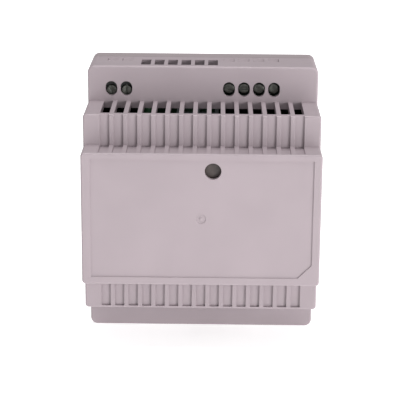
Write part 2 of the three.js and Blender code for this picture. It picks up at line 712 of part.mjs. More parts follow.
/** Round indicator lamp with its two leads bent sideways into the control board. */
function statusLed() {
  const { radius, flange, flangeDepth, rear, shoulder } = LED;
  const dome = Array.from({ length: DOME_STEPS }, (_, i) => {
    const angle = (i / DOME_STEPS) * (Math.PI / 2);
    return [radius * Math.sin(angle), shoulder - LED.dome * Math.cos(angle)];
  });
  const profile = [
    ...dome,
    [radius, shoulder],
    [radius, rear - flangeDepth],
    [flange, rear - flangeDepth],
    [flange, rear],
    [0, rear],
  ];
  const lamp = turned(profile, [INDICATOR.x, INDICATOR.z]);
  const { y, half } = LED_LEADS;
  const legEnd = PLACE.controlBoard[0] + CONTROL.thickness + 0.8;
  const legs = LED_LEADS.z.flatMap((z) => [
    box(around(INDICATOR.x, half), [rear - 0.5, y + half], around(z, half)),
    box([INDICATOR.x - half, legEnd], around(y, half), around(z, half)),
  ]);
  return join([lamp, ...legs]);
}

const LED_CAP = { floor: 0.7, length: 6, wall: 0.5, bevel: 0.2 };

/** Smoked cap pushed over the lamp, closing the hole in the face from behind. */
function ledCap() {
  const front = FACE.front + WALL + GAP;
  const floor = front + LED_CAP.floor;
  const rear = front + LED_CAP.length;
  const inner = LED.radius + GAP;
  const outer = inner + LED_CAP.wall;
  const profile = [
    [0, front],
    [outer - LED_CAP.bevel, front],
    [outer, front + LED_CAP.bevel],
    [outer, rear],
    [inner, rear],
    [inner, floor],
    [0, floor],
  ];
  return turned(profile, [INDICATOR.x, INDICATOR.z], FINE_SIDES);
}

// ---------------------------------------------------------------- primary side

const CAN_SIDES = 20;
const CAN_BEAD = { depth: 0.5, middle: 2.8, half: 0.6 };
const FUSE = { radius: 4.2, length: 8 };
const X_CAPACITOR = { half: [4.2, 8.7], corner: 0.6, height: 14.5 };
const BRIDGE = { half: [7.6, 1.7], front: 9.8, standOff: 0.5, chamfer: [3, 1.6] };
const BULK_CAN = { radius: 11, length: 30 };
const OUTPUT_CAN = { radius: 5, length: 20 };

/** Round can standing on the board, with a rolled bead near its foot. */
function can(place, { radius, length }) {
  const front = PART_REAR - length;
  const { depth, middle, half } = CAN_BEAD;
  const bead = PART_REAR - middle;
  const profile = [
    [0, front],
    [radius - depth, front],
    [radius, front + depth],
    [radius, bead - half],
    [radius - depth, bead],
    [radius, bead + half],
    [radius, PART_REAR],
    [0, PART_REAR],
  ];
  return turned(profile, place, CAN_SIDES);
}

/** Radial-lead fuse: a short round cap standing on the board. */
function fuse() {
  const cap = rodY(FUSE.radius, [PART_REAR - FUSE.length, PART_REAR], PLACE.fuse, CAN_SIDES);
  return join([cap, ...leads(LEADS.fuse)]);
}

const THERMISTOR = { radius: 5, thickness: 3.6, standOff: 0.8 };
const Y_CAPACITOR = { radius: 4, thickness: 3.6, standOff: 0.8 };

/** Disc standing on edge on its two leads, facing along X. */
function discX([x, z], { radius, thickness, standOff }, places) {
  const middle = PART_REAR - radius - standOff;
  const disc = rodX(radius, around(x, thickness / 2), [middle, z], CAN_SIDES);
  return join([disc, ...leads(places, middle)]);
}

/** Disc standing on edge on its two leads, facing along Z. */
function discZ([x, z], { radius, thickness, standOff }, places) {
  const middle = PART_REAR - radius - standOff;
  const disc = rodZ(radius, around(z, thickness / 2), [x, middle], CAN_SIDES);
  return join([disc, ...leads(places, middle)]);
}

function xCapacitor() {
  const [x, z] = PLACE.xCapacitor;
  const { half, corner, height } = X_CAPACITOR;
  const outline = roundedRectangle(around(x, half[0]), around(z, half[1]), corner);
  const body = plateY(outline, [PART_REAR - height, PART_REAR], 3);
  return join([body, ...leads(LEADS.xCapacitor)]);
}

/** Flat rectifier on four legs in a row, one corner cut off to mark its plus leg. */
function bridgeRectifier() {
  const [x, z] = PLACE.bridge;
  const { half, front, standOff, chamfer } = BRIDGE;
  const depth = [PART_REAR - front, PART_REAR - standOff];
  const body = box(around(x, half[0]), depth, around(z, half[1]));
  const edge = z + half[1];
  const cutCorner = barX(
    [
      [depth[0] - THROUGH, edge + THROUGH],
      [depth[0] - THROUGH, edge - chamfer[1]],
      [depth[0] + chamfer[1], edge + THROUGH],
    ],
    [x + chamfer[0], x + half[0] + THROUGH],
  );
  return join([body.subtract(cutCorner), ...leads(LEADS.bridge, depth[1] - standOff)]);
}

function bulkCapacitor() {
  return join([can(PLACE.bulkCapacitor, BULK_CAN), ...leads(LEADS.bulkCapacitor)]);
}

// ---------------------------------------------------------------- toroids

const TOROID_REAR = PART_REAR - 1.4;
const TOROID_REACH = 12; // more than any winding's outer radius
const LEAD_ROOT = 0.2; // how far a winding's leads start inside it

/** Square-section ring lying flat on the board. */
function ringCore(place, [inner, outer], height) {
  const front = TOROID_REAR - height;
  const ring = rodY(outer, [front, TOROID_REAR], place, FINE_SIDES);
  return ring.subtract(rodY(inner, [front - THROUGH, TOROID_REAR + THROUGH], place, FINE_SIDES));
}

/** Layer of wire round a flat ring, as a hollow sleeve with the same gap all round. */
function ringSleeve(place, [inner, outer], height, thickness) {
  const front = TOROID_REAR - height;
  const layer = (grow) =>
    rodY(outer + grow, [front - grow, TOROID_REAR + grow], place, FINE_SIDES).subtract(
      rodY(inner - grow, [front - grow - THROUGH, TOROID_REAR + grow + THROUGH], place, FINE_SIDES),
    );
  return layer(GAP + thickness).subtract(layer(GAP));
}

const CHOKE = { radii: [4.6, 8.4], height: 7, wire: 0.9, split: 1.6 };
const INDUCTOR = { radii: [4.2, 8.2], height: 7.5, wire: 0.9, opening: 1.2 };

/** One of the choke's two windings: the half of the sleeve on its own side. */
function chokeWinding(side, places) {
  const [x, z] = PLACE.choke;
  const sleeve = ringSleeve(PLACE.choke, CHOKE.radii, CHOKE.height, CHOKE.wire);
  const ends = [x + side * CHOKE.split, x + side * TOROID_REACH].sort((a, b) => a - b);
  const depth = [TOROID_REAR - TOROID_REACH, PART_REAR + THROUGH];
  const half = sleeve.intersect(box(ends, depth, around(z, TOROID_REACH)));
  return join([half, ...leads(places, TOROID_REAR + GAP + LEAD_ROOT)]);
}

/** The output inductor's winding, open at the side where its two ends come down. */
function inductorWinding() {
  const [x, z] = PLACE.inductor;
  const sleeve = ringSleeve(PLACE.inductor, INDUCTOR.radii, INDUCTOR.height, INDUCTOR.wire);
  const depth = [TOROID_REAR - TOROID_REACH, PART_REAR + THROUGH];
  const opening = box(around(x, INDUCTOR.opening), depth, [z - TOROID_REACH, z]);
  return join([sleeve.subtract(opening), ...leads(LEADS.inductor, TOROID_REAR + GAP + LEAD_ROOT)]);
}

// ---------------------------------------------------------------- transformer

const CORE = { half: 12.5, front: -30.2, rear: -5.2, leg: 3.2, window: 5.5, thick: 3.5, windowHalf: 8.7 };
const LEG_FRONT = CORE.front + CORE.leg + CORE.window;
const LEG_REAR = CORE.rear - CORE.leg - CORE.window;

/** The core's middle leg grown by a distance all round, as a bar along X. */
function roundLeg(half, grow) {
  const [x, z] = PLACE.transformer;
  return box(around(x, half), [LEG_FRONT - grow, LEG_REAR + grow], around(z, CORE.thick + grow));
}

function transformerCore() {
  const [x, z] = PLACE.transformer;
  const body = box(around(x, CORE.half), [CORE.front, CORE.rear], around(z, CORE.thick));
  const width = around(x, CORE.windowHalf);
  const depth = around(z, CORE.thick + THROUGH);
  return cut(body, [
    box(width, [CORE.front + CORE.leg, LEG_FRONT], depth),
    box(width, [LEG_REAR, CORE.rear - CORE.leg], depth),
  ]);
}

const BOBBIN = {
  wall: 0.8,
  flangeHalf: 8.4,
  flange: 1,
  rim: 4.9,
  rimZ: 5.7,
  foot: { half: 2.4, out: 3.3 },
};
const WINDING = { belowRim: 0.4, belowRimZ: 0.6, corner: 2.4 };

function transformerBobbin() {
  const [x, z] = PLACE.transformer;
  const { wall, flangeHalf, flange, rim, rimZ, foot } = BOBBIN;
  const tube = roundLeg(flangeHalf, GAP + wall);
  const flanges = [-1, 1].map((end) => around(x + end * (flangeHalf - flange / 2), flange / 2));
  const ends = flanges.map((width) =>
    box(width, [LEG_FRONT - rim, LEG_REAR + rim], around(z, CORE.thick + rimZ)),
  );
  const feet = flanges.flatMap((width) =>
    [-1, 1].map((side) => {
      const middle = z + side * (CORE.thick + foot.out);
      return box(width, [LEG_REAR + rim - THROUGH, PART_REAR], around(middle, foot.half));
    }),
  );
  const bore = roundLeg(flangeHalf + THROUGH, GAP);
  return join([tube, ...ends, ...feet]).subtract(bore).add(join(leads(LEADS.transformer)));
}

/** Taped windings filling the bobbin, as one block with round edges. */
function transformerWinding() {
  const [x, z] = PLACE.transformer;
  const half = BOBBIN.flangeHalf - BOBBIN.flange - GAP;
  const depth = (LEG_REAR - LEG_FRONT) / 2 + BOBBIN.rim - WINDING.belowRim;
  const height = CORE.thick + BOBBIN.rimZ - WINDING.belowRimZ;
  const outline = roundedRectangle([-depth, depth], [-height, height], WINDING.corner);
  const settings = { depth: 2 * half, bevelEnabled: false, curveSegments: 4 };
  const geometry = new THREE.ExtrudeGeometry(outline, settings);
  geometry.translate(0, 0, -half);
  geometry.rotateX(Math.PI / 2);
  geometry.rotateZ(Math.PI / 2);
  geometry.translate(x, (LEG_FRONT + LEG_REAR) / 2, z);
  return solid(geometry).subtract(roundLeg(half + THROUGH, BOBBIN.wall + 2 * GAP));
}

// ---------------------------------------------------------------- power parts on heat sinks

const SINK = { thickness: 1.8, front: -33, finDepth: 1.8, fin: 1.2, finRoot: 0.5, holeY: -20.5 };
const SINK_SCREW = { head: 2, beyond: 1.2, reach: 4 };
const PACKAGE = {
  half: 5,
  tab: 1.3,
  tabFront: -23.6,
  bodyFront: -17.2,
  bodyRear: -8.4,
  thickness: 4.4,
  backStep: 0.2,
  legRoot: 0.5,
};

/** Box given by its limits across a sink's plate, along it and in depth. */
function upright(axis, across, along, depth) {
  return axis === "z" ? box(along, depth, across) : box(across, depth, along);
}

/** Upright plate with short fins on its far side, standing beside z = face or x = face. */
function heatSink(axis, face, [low, high]) {
  const depth = [SINK.front, PART_REAR];
  const far = face + SINK.thickness;
  const plate = upright(axis, [face, far], [low, high], depth);
  const fins = [low, (low + high - SINK.fin) / 2, high - SINK.fin].map((start) =>
    upright(axis, [far - SINK.finRoot, far + SINK.finDepth], [start, start + SINK.fin], depth),
  );
  return join([plate, ...fins]);
}

/** Three-leg power package lying against a sink's near face, its tab towards the sink. */
function powerPackage(axis, face, middle, places) {
  const near = face - GAP;
  const { half, tab, bodyFront, bodyRear, tabFront, thickness, backStep, legRoot } = PACKAGE;
  const width = around(middle, half);
  const metalTab = upright(axis, [near - tab, near], width, [tabFront, bodyRear]);
  const body = upright(axis, [near - thickness, near - backStep], width, [bodyFront, bodyRear]);
  return join([metalTab, body, ...leads(places, bodyRear - legRoot)]);
}

/** Screw that holds a package's tab to its sink. */
function sinkScrew(axis, face, middle) {
  const headEnd = face - PACKAGE.tab - 2 * GAP;
  const shankEnd = face + SINK.thickness + SINK_SCREW.beyond;
  const rod = axis === "z" ? rodZ : rodX;
  const centre = axis === "z" ? [middle, SINK.holeY] : [SINK.holeY, middle];
  const head = rod(SCREW_HEAD, [headEnd - SINK_SCREW.head, headEnd], centre);
  return head.add(rod(SCREW_SHANK, [headEnd - THROUGH, shankEnd], centre));
}

function sinkHole(axis, face, middle) {
  const reach = [face - PACKAGE.tab - SINK_SCREW.reach, face + SINK.thickness + SINK_SCREW.reach];
  return axis === "z"
    ? rodZ(CLEARANCE_HOLE, reach, [middle, SINK.holeY])
    : rodX(CLEARANCE_HOLE, reach, [SINK.holeY, middle]);
}

function addPowerPart(group, axis, { face, middle, span, places, names }) {
  const hole = sinkHole(axis, face, middle);
  addPart(group, names.sink, heatSink(axis, face, span).subtract(hole), FINISH.aluminium);
  addPart(group, names.device, powerPackage(axis, face, middle, places).subtract(hole), FINISH.black);
  addPart(group, names.screw, sinkScrew(axis, face, middle), FINISH.steel);
}

// ---------------------------------------------------------------- small parts

/** Four-leg chip: each pair of legs leaves the moulding as one flat shelf bent down at its ends. */
function optocoupler() {
  const [x, z] = PLACE.optocoupler;
  const { half, body, shelf, legX, legZ } = OPTOCOUPLER;
  const fromBoard = ([front, rear]) => [PART_REAR - front, PART_REAR - rear];
  const moulding = box(around(x, half[0]), fromBoard(body), around(z, half[1]));
  const shelves = [-legZ, legZ].map((shift) =>
    box(around(x, legX + LEAD_WIDTH / 2), fromBoard(shelf), around(z + shift, LEAD_WIDTH / 2)),
  );
  return join([moulding, ...shelves, ...leads(LEADS.optocoupler, PART_REAR - shelf[0])]);
}

const CHIP = {
  y: -18,
  half: [2.4, 1.95],
  body: [0.25, 1.7],
  legs: [-1.905, -0.635, 0.635, 1.905],
  legHalf: 0.2,
  legThickness: 0.25,
  foot: { layer: 0.2, reach: 3 },
  bend: 2.3,
  arm: 0.75,
};

/** Small controller chip on the right of the control board, its feet along both long sides. */
function pwmController() {
  const [boardX, boardZ] = PLACE.controlBoard;
  const surface = boardX + CONTROL.thickness;
  const { y, half, legThickness: metal, foot, bend, arm } = CHIP;
  const layer = (low, high) => [surface + low, surface + high];
  const body = box(layer(...CHIP.body), around(y, half[0]), around(boardZ, half[1]));
  const legs = CHIP.legs.map((shift) => {
    const width = around(y + shift, CHIP.legHalf);
    const across = box(layer(arm, arm + metal), width, around(boardZ, bend + metal));
    const ends = [-1, 1].flatMap((side) => {
      const span = (from, to) => [boardZ + side * from, boardZ + side * to].sort((a, b) => a - b);
      const post = box(layer(foot.layer, arm + metal), width, span(bend, bend + metal));
      const pad = box(layer(foot.layer, foot.layer + metal), width, span(bend, foot.reach));
      return [post, pad];
    });
    return join([across, ...ends]);
  });
  return join([body, ...legs]);
}

// ---------------------------------------------------------------- assembly

const powerSupply = new THREE.Group();

const housing = new THREE.Group();
addPart(housing, "front_cover", frontCover(), FINISH.housing);
addPart(housing, "rear_base", rearBase(), FINISH.base);
addPart(housing, "rail_latch", railLatch(), FINISH.latch);
addPart(housing, "latch_spring", latchSpring(), FINISH.steel);
powerSupply.add(housing);

const terminals = new THREE.Group();
addTerminals(terminals, "input", INPUT_TERMINALS, FINISH.inputBlock, [1.1, 1.55]);
addTerminals(terminals, "output", OUTPUT_TERMINALS, FINISH.outputBlock, [0.4, 0.05, 0.8, 1.3]);
powerSupply.add(terminals);

const electronics = new THREE.Group();
addPart(electronics, "main_board", mainBoard(), FINISH.board);
BOARD_SCREWS.forEach((place, i) => {
  addPart(electronics, `board_screw_${i + 1}`, boardScrew(place), FINISH.steel);
});
addPart(electronics, "control_board", controlBoard(), FINISH.board);
addPart(electronics, "pwm_controller", pwmController(), FINISH.black);
addPart(electronics, "status_led", statusLed(), FINISH.ledResin);
addPart(electronics, "status_led_cap", ledCap(), FINISH.smokedLens);
addPart(electronics, "fuse", fuse(), FINISH.black);
const thermistor = discX(PLACE.thermistor, THERMISTOR, LEADS.thermistor);
addPart(electronics, "inrush_thermistor", thermistor, FINISH.greenDisc);
addPart(electronics, "x_capacitor", xCapacitor(), FINISH.yellowBox);
addPart(electronics, "choke_core", ringCore(PLACE.choke, CHOKE.radii, CHOKE.height), FINISH.ferrite);
addPart(electronics, "choke_winding_line", chokeWinding(-1, LEADS.chokeLeft), FINISH.copper);
addPart(electronics, "choke_winding_neutral", chokeWinding(1, LEADS.chokeRight), FINISH.copper);
addPart(electronics, "bridge_rectifier", bridgeRectifier(), FINISH.black);
addPart(electronics, "bulk_capacitor", bulkCapacitor(), FINISH.sleeve);
addPart(electronics, "transformer_core", transformerCore(), FINISH.ferrite);
addPart(electronics, "transformer_bobbin", transformerBobbin(), FINISH.black);
addPart(electronics, "transformer_winding", transformerWinding(), FINISH.tape);
addPowerPart(electronics, "z", {
  face: PLACE.transistor[1],
  middle: PLACE.transistor[0],
  span: [-9, 5.4],
  places: LEADS.transistor,
  names: { sink: "primary_heatsink", device: "switching_transistor", screw: "heatsink_screw_1" },
});
addPowerPart(electronics, "x", {
  face: PLACE.diode[0],
  middle: PLACE.diode[1],
  span: [-14, 16],
  places: LEADS.diode,
  names: { sink: "secondary_heatsink", device: "rectifier_diode", screw: "heatsink_screw_2" },
});
const inductorCore = ringCore(PLACE.inductor, INDUCTOR.radii, INDUCTOR.height);
addPart(electronics, "inductor_core", inductorCore, FINISH.greenDisc);
addPart(electronics, "inductor_winding", inductorWinding(), FINISH.copper);
PLACE.outputCapacitors.forEach((place, i) => {
  const body = join([can(place, OUTPUT_CAN), ...leads(OUTPUT_CAPACITOR_LEADS[i])]);
  addPart(electronics, `output_capacitor_${i + 1}`, body, FINISH.sleeve);
});
addPart(electronics, "optocoupler", optocoupler(), FINISH.black);
const yCapacitor = discZ(PLACE.yCapacitor, Y_CAPACITOR, LEADS.yCapacitor);
addPart(electronics, "y_capacitor", yCapacitor, FINISH.blueDisc);
powerSupply.add(electronics);

export default powerSupply;
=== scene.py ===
import math

import bmesh
import bpy
from mathutils import Matrix, Vector


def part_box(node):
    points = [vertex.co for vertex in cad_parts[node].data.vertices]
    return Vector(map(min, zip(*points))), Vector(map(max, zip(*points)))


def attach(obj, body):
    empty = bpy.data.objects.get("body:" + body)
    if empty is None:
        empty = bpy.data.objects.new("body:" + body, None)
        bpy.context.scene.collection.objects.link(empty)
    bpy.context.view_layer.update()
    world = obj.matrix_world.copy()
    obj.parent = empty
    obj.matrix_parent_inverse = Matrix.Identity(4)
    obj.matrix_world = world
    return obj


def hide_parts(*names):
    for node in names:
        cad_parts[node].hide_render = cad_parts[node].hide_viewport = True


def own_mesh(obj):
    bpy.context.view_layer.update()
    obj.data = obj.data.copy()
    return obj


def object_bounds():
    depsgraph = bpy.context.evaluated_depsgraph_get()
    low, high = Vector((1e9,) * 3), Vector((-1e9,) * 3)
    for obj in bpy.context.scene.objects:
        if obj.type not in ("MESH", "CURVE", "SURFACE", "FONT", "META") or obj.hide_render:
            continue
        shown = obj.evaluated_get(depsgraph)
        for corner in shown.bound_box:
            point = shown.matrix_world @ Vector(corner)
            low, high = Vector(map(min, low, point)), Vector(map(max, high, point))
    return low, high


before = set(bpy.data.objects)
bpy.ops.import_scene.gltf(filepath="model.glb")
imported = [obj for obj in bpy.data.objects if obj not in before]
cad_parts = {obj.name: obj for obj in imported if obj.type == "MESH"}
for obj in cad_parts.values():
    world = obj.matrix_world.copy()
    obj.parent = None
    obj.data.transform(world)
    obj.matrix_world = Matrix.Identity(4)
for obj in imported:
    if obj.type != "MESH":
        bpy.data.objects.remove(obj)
CAD_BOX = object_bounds()

# Lengths are millimetres, scaled to metres as meshes are made. The camera and lights are in metres.
MM = 0.001
HOUSING = "housing"

# The housing's three steps: front plane, lowest, highest and corner radius of each.
SIDE = 39.0
STEPS = ((-50.5, -22.25, 22.25, 1.2), (-39.5, -34.5, 32.5, 1.2), (-18.5, -48.5, 44.5, 2.4))
COVER_REAR = -1.5

OUTER_FILLET = 0.7
FILLET_STEPS = 6
CORNER_STEPS = 8
RIB_FILLET = 0.15
FINE_FILLET = 0.1

# Slot directions of the clamp screws, in radians about +Y.
SLOT_ANGLES = {
    "input_1": 1.1,
    "input_2": 1.55,
    "output_1": 0.4,
    "output_2": 0.05,
    "output_3": 0.8,
    "output_4": 1.3,
}

# Planes across the depth: where circuit parts sit, the main board's rear face, and the lead ends.
PART_REAR = -5.0
BOARD_REAR = -2.8
LEAD_END = -1.9
LEG_RADIUS = 0.34

# Clamp screws: rear of the head, and where the thread starts.
CLAMP_HEAD_REAR = -13.6
CLAMP_NECK = -13.2

# Ring cores: bore radius of each, the wire's radius, and how far a turn stands off its core.
TOROID_BORES = {"choke_core": 4.6, "inductor_core": 4.2}
WIRE = 0.45
WIRE_OUT = 0.76
TURN_STEPS = 20
TURN_SQUARENESS = 0.4

# Edges above these angles, in degrees: drawn sharp, softened, and filleted by their own width.
SHARP_ANGLE = 50
SOFTEN_ANGLE = 38
FILLET_ANGLE = 28


# ------------------------------------------------------------------ camera


CAMERA_PLACE = (0.0042, -0.5081, 0.1407)
CAMERA_DEGREES = (-0.57, 16.29, 0.45)
SENSOR_WIDTH = 36
FOCAL_LENGTH = 132.66


def add_camera():
    """Camera in front of the face and above it, tilted down and turned a touch to the left."""
    yaw, pitch, roll = (math.radians(angle) for angle in CAMERA_DEGREES)
    forward = Vector(
        (math.sin(yaw) * math.cos(pitch), math.cos(yaw) * math.cos(pitch), -math.sin(pitch))
    )
    level = Vector((math.cos(yaw), -math.sin(yaw), 0))
    upright = level.cross(forward)
    right = math.cos(roll) * level + math.sin(roll) * upright
    up = -math.sin(roll) * level + math.cos(roll) * upright
    data = bpy.data.cameras.new("camera")
    data.sensor_width = SENSOR_WIDTH
    data.lens = FOCAL_LENGTH
    data.clip_start = 0.02
    data.clip_end = 20
    camera = bpy.data.objects.new("camera", data)
    camera.matrix_world = (
        Matrix.Translation(CAMERA_PLACE)
        @ Matrix((right, up, -forward)).transposed().to_4x4()
    )
    bpy.context.scene.collection.objects.link(camera)
    bpy.context.scene.camera = camera


# ------------------------------------------------------------------ studio

FLOOR_GLOW = 0.6
FLOOR_SHADE = 0.93
FLOOR_HALF = 6.0
WORLD_STRENGTH = 0.35

# Softboxes: place in metres, edge length in metres, power in watts.
SOFTBOXES = {
    "right": ((0.9, -0.9, 0.1), 0.6, 15.0),
    "overhead": ((0.0, -0.1, 1.1), 0.9, 11.5),
}


def add_floor():
    """Pale floor under the housing, running out past every view."""
    mesh = bpy.data.meshes.new("floor")
    half, z = FLOOR_HALF, CAD_BOX[0].z
    corners = [(-half, -half, z), (half, -half, z), (half, half, z), (-half, half, z)]
    mesh.from_pydata(corners, [], [(0, 1, 2, 3)])
    floor = bpy.data.objects.new("floor", mesh)
    bpy.context.scene.collection.objects.link(floor)
    material = bpy.data.materials.new("floor")
    material.use_nodes = True
    shader = material.node_tree.nodes["Principled BSDF"]
    shader.inputs["Base Color"].default_value = (FLOOR_SHADE, FLOOR_SHADE, FLOOR_SHADE, 1)
    shader.inputs["Roughness"].default_value = 0.9
    shader.inputs["Specular IOR Level"].default_value = 0.0
    shader.inputs["Emission Color"].default_value = (1, 1, 1, 1)
    shader.inputs["Emission Strength"].default_value = FLOOR_GLOW
    mesh.materials.append(material)


def add_softbox(name, location, size, power):
    """Square area light that points at the object."""
    data = bpy.data.lights.new(name, "AREA")
    data.shape = "SQUARE"
    data.size = size
    data.energy = power
    light = bpy.data.objects.new(name, data)
    light.location = location
    light.rotation_mode = "QUATERNION"
    light.rotation_quaternion = (-Vector(location)).to_track_quat("-Z", "Y")
    bpy.context.scene.collection.objects.link(light)


def add_studio():
    """Floor, even white surroundings and the softboxes."""
    add_floor()
    world = bpy.data.worlds.new("studio")
    bpy.context.scene.world = world
    world.use_nodes = True
    background = world.node_tree.nodes["Background"]
    background.inputs["Color"].default_value = (1.0, 1.0, 1.0, 1)
    background.inputs["Strength"].default_value = WORLD_STRENGTH
    for name, (location, size, power) in SOFTBOXES.items():
        add_softbox(name, location, size, power)
    view = bpy.context.scene.view_settings
    view.view_transform = "Standard"
    view.look = "None"
    view.exposure = 0.0


# ------------------------------------------------------------------ material tools


def linear(code):
    """Linear colour from a six-digit sRGB code."""
    channels = [int(code[i : i + 2], 16) / 255 for i in (0, 2, 4)]
    return [c / 12.92 if c <= 0.04045 else ((c + 0.055) / 1.055) ** 2.4 for c in channels]


def tinted(code, factor):
    """Linear colour of a code, made lighter or darker by a factor."""
    return [min(1.0, channel * factor) for channel in linear(code)]


class Recipe:
    """Node material built up step by step round one Principled shader."""

    def __init__(self, name, roughness=0.5, metallic=0.0):
        self.material = bpy.data.materials.new(name)
        self.material.use_nodes = True
        self.nodes = self.material.node_tree.nodes
        self.links = self.material.node_tree.links
        self.shader = self.nodes["Principled BSDF"]
        self.shader.inputs["Roughness"].default_value = roughness
        self.shader.inputs["Metallic"].default_value = metallic
        self.place = self.nodes.new("ShaderNodeTexCoord").outputs["Object"]

    def link(self, source, socket):
        """Connects a socket, or sets a plain value."""
        if isinstance(source, bpy.types.NodeSocket):
            self.links.new(source, socket)
        else:
            socket.default_value = source

    def stretched(self, scale):
        """The object's coordinates, stretched by a factor on each axis."""
        mapping = self.nodes.new("ShaderNodeMapping")
        mapping.inputs["Scale"].default_value = scale
        self.links.new(self.place, mapping.inputs["Vector"])
        return mapping.outputs["Vector"]

    def noise(self, size, detail=2.0, place=None):
        """Noise whose features measure about size."""
        node = self.nodes.new("ShaderNodeTexNoise")
        node.inputs["Scale"].default_value = 1 / (size * MM)
        node.inputs["Detail"].default_value = detail
        self.links.new(place or self.place, node.inputs["Vector"])
        return node.outputs["Fac"]

    def waves(self, axis, pitch):
        """Sine along one axis, from -1 to 1."""
        split = self.nodes.new("ShaderNodeSeparateXYZ")
        self.links.new(self.place, split.inputs["Vector"])
        phase = self.computed("MULTIPLY", split.outputs[axis], 2 * math.pi / (pitch * MM))
        return self.computed("SINE", phase)

    def computed(self, operation, first, second=0.0):
        """Result of one arithmetic node on two sockets or values."""
        node = self.nodes.new("ShaderNodeMath")
        node.operation = operation
        self.link(first, node.inputs[0])
        self.link(second, node.inputs[1])
        return node.outputs["Value"]

    def ranged(self, value, low, high, from_low=0.3, from_high=0.7):
        """A value moved from one range to another, and kept inside it."""
        node = self.nodes.new("ShaderNodeMapRange")
        node.inputs["From Min"].default_value = from_low
        node.inputs["From Max"].default_value = from_high
        node.inputs["To Min"].default_value = low
        node.inputs["To Max"].default_value = high
        self.links.new(value, node.inputs["Value"])
        return node.outputs["Result"]

    def mixed(self, share, first, second):
        """Colour between two colours or sockets, by a share from 0 to 1."""
        node = self.nodes.new("ShaderNodeMix")
        node.data_type = "RGBA"
        inputs = {socket.identifier: socket for socket in node.inputs}
        self.links.new(share, inputs["Factor_Float"])
        for value, key in ((first, "A_Color"), (second, "B_Color")):
            if isinstance(value, bpy.types.NodeSocket):
                self.links.new(value, inputs[key])
            else:
                inputs[key].default_value = (*value, 1)
        return next(s for s in node.outputs if s.identifier == "Result_Color")

    def colour(self, socket):
        self.links.new(socket, self.shader.inputs["Base Color"])

    def roughness(self, socket):
        self.links.new(socket, self.shader.inputs["Roughness"])

    def bump(self, height, depth, strength=1.0):
        """Adds relief of a given depth on top of any relief already there."""
        node = self.nodes.new("ShaderNodeBump")
        node.inputs["Strength"].default_value = strength
        node.inputs["Distance"].default_value = depth * MM
        self.links.new(height, node.inputs["Height"])
        normal = self.shader.inputs["Normal"]
        if normal.is_linked:
            self.links.new(normal.links[0].from_socket, node.inputs["Normal"])
        self.links.new(node.outputs["Normal"], normal)


def moulded(name, code, roughness=0.5, grain=0.25, depth=0.012, mottle=0.03):
    """Moulded plastic: faint flow mottling, spark-eroded grain and a roughness that wanders."""
    recipe = Recipe(name, roughness)
    flow = recipe.ranged(recipe.noise(14, 3), 0, 1)
    recipe.colour(recipe.mixed(flow, tinted(code, 1 - mottle), tinted(code, 1 + mottle)))
    recipe.roughness(recipe.ranged(recipe.noise(3.5, 3), roughness - 0.05, roughness + 0.05))
    recipe.bump(recipe.noise(grain, 2), depth, 0.6)
    return recipe.material


def bare_metal(name, code, roughness=0.3, stretch=(1, 1, 1), scratch=0.3, dull=0.78):
    """Bare or plated metal: fine scratches along one direction and blotchy tarnish."""
    recipe = Recipe(name, roughness, metallic=1.0)
    tarnish = recipe.ranged(recipe.noise(1.2, 3), 0, 1)
    recipe.colour(recipe.mixed(tarnish, tinted(code, dull), tinted(code, 1.08)))
    scratches = recipe.noise(scratch, 3, recipe.stretched(stretch))
    recipe.roughness(recipe.ranged(scratches, roughness - 0.1, roughness + 0.14))
    recipe.bump(scratches, 0.006, 0.5)
    return recipe.material


def laminate():
    """Glass-fibre board under green mask: cloth telegraphing through, copper areas below."""
    recipe = Recipe("board_laminate", 0.42)
    weave = recipe.computed("MULTIPLY", recipe.waves("X", 1.1), recipe.waves("Z", 1.1))
    copper = recipe.ranged(recipe.noise(5, 1), 0, 1, 0.48, 0.52)
    masked = recipe.mixed(copper, linear("0C2212"), linear("15341D"))
    recipe.colour(recipe.mixed(recipe.ranged(weave, 0, 0.15, -1, 1), masked, linear("1D4024")))
    recipe.bump(weave, 0.01, 0.4)
    recipe.bump(copper, 0.03, 0.5)
    return recipe.material


def can_sleeve(name, low, high):
    """Shrink sleeve on a capacitor: film with a soft sheen and fine wrinkles."""
    recipe = Recipe(name, 0.28)
    flow = recipe.ranged(recipe.noise(6, 2), 0, 1)
    recipe.colour(recipe.mixed(flow, linear(low), linear(high)))
    recipe.bump(recipe.noise(1.6, 2, recipe.stretched((1, 0.25, 1))), 0.03, 0.35)
    return recipe.material


def wound_copper():
    """Enamelled copper wire: warm metal under a clear varnish."""
    recipe = Recipe("copper_wire", 0.3, metallic=1.0)
    heat = recipe.ranged(recipe.noise(2.4, 3), 0, 1)
    recipe.colour(recipe.mixed(heat, linear("8C4318"), linear("C06A2C")))
    recipe.shader.inputs["Coat Weight"].default_value = 0.5
    recipe.bump(recipe.noise(0.4, 2), 0.01, 0.3)
    return recipe.material


def winding_tape():
    """Yellow polyester tape in layers, the edge of each turn showing as a faint ridge."""
    recipe = Recipe("winding_tape", 0.3)
    stain = recipe.ranged(recipe.noise(3, 3), 0, 1)
    recipe.colour(recipe.mixed(stain, linear("C79A2E"), linear("DDB64A")))
    recipe.bump(recipe.waves("X", 4.5), 0.05, 0.4)
    recipe.shader.inputs["Coat Weight"].default_value = 0.3
    return recipe.material


def ferrite():
    """Sintered ferrite: charcoal grey, pitted at a fine scale."""
    recipe = Recipe("ferrite", 0.62)
    pits = recipe.noise(0.35, 4)
    recipe.colour(recipe.mixed(recipe.ranged(pits, 0, 1), linear("2B2B2E"), linear("454548")))
    recipe.bump(pits, 0.04, 0.6)
    return recipe.material


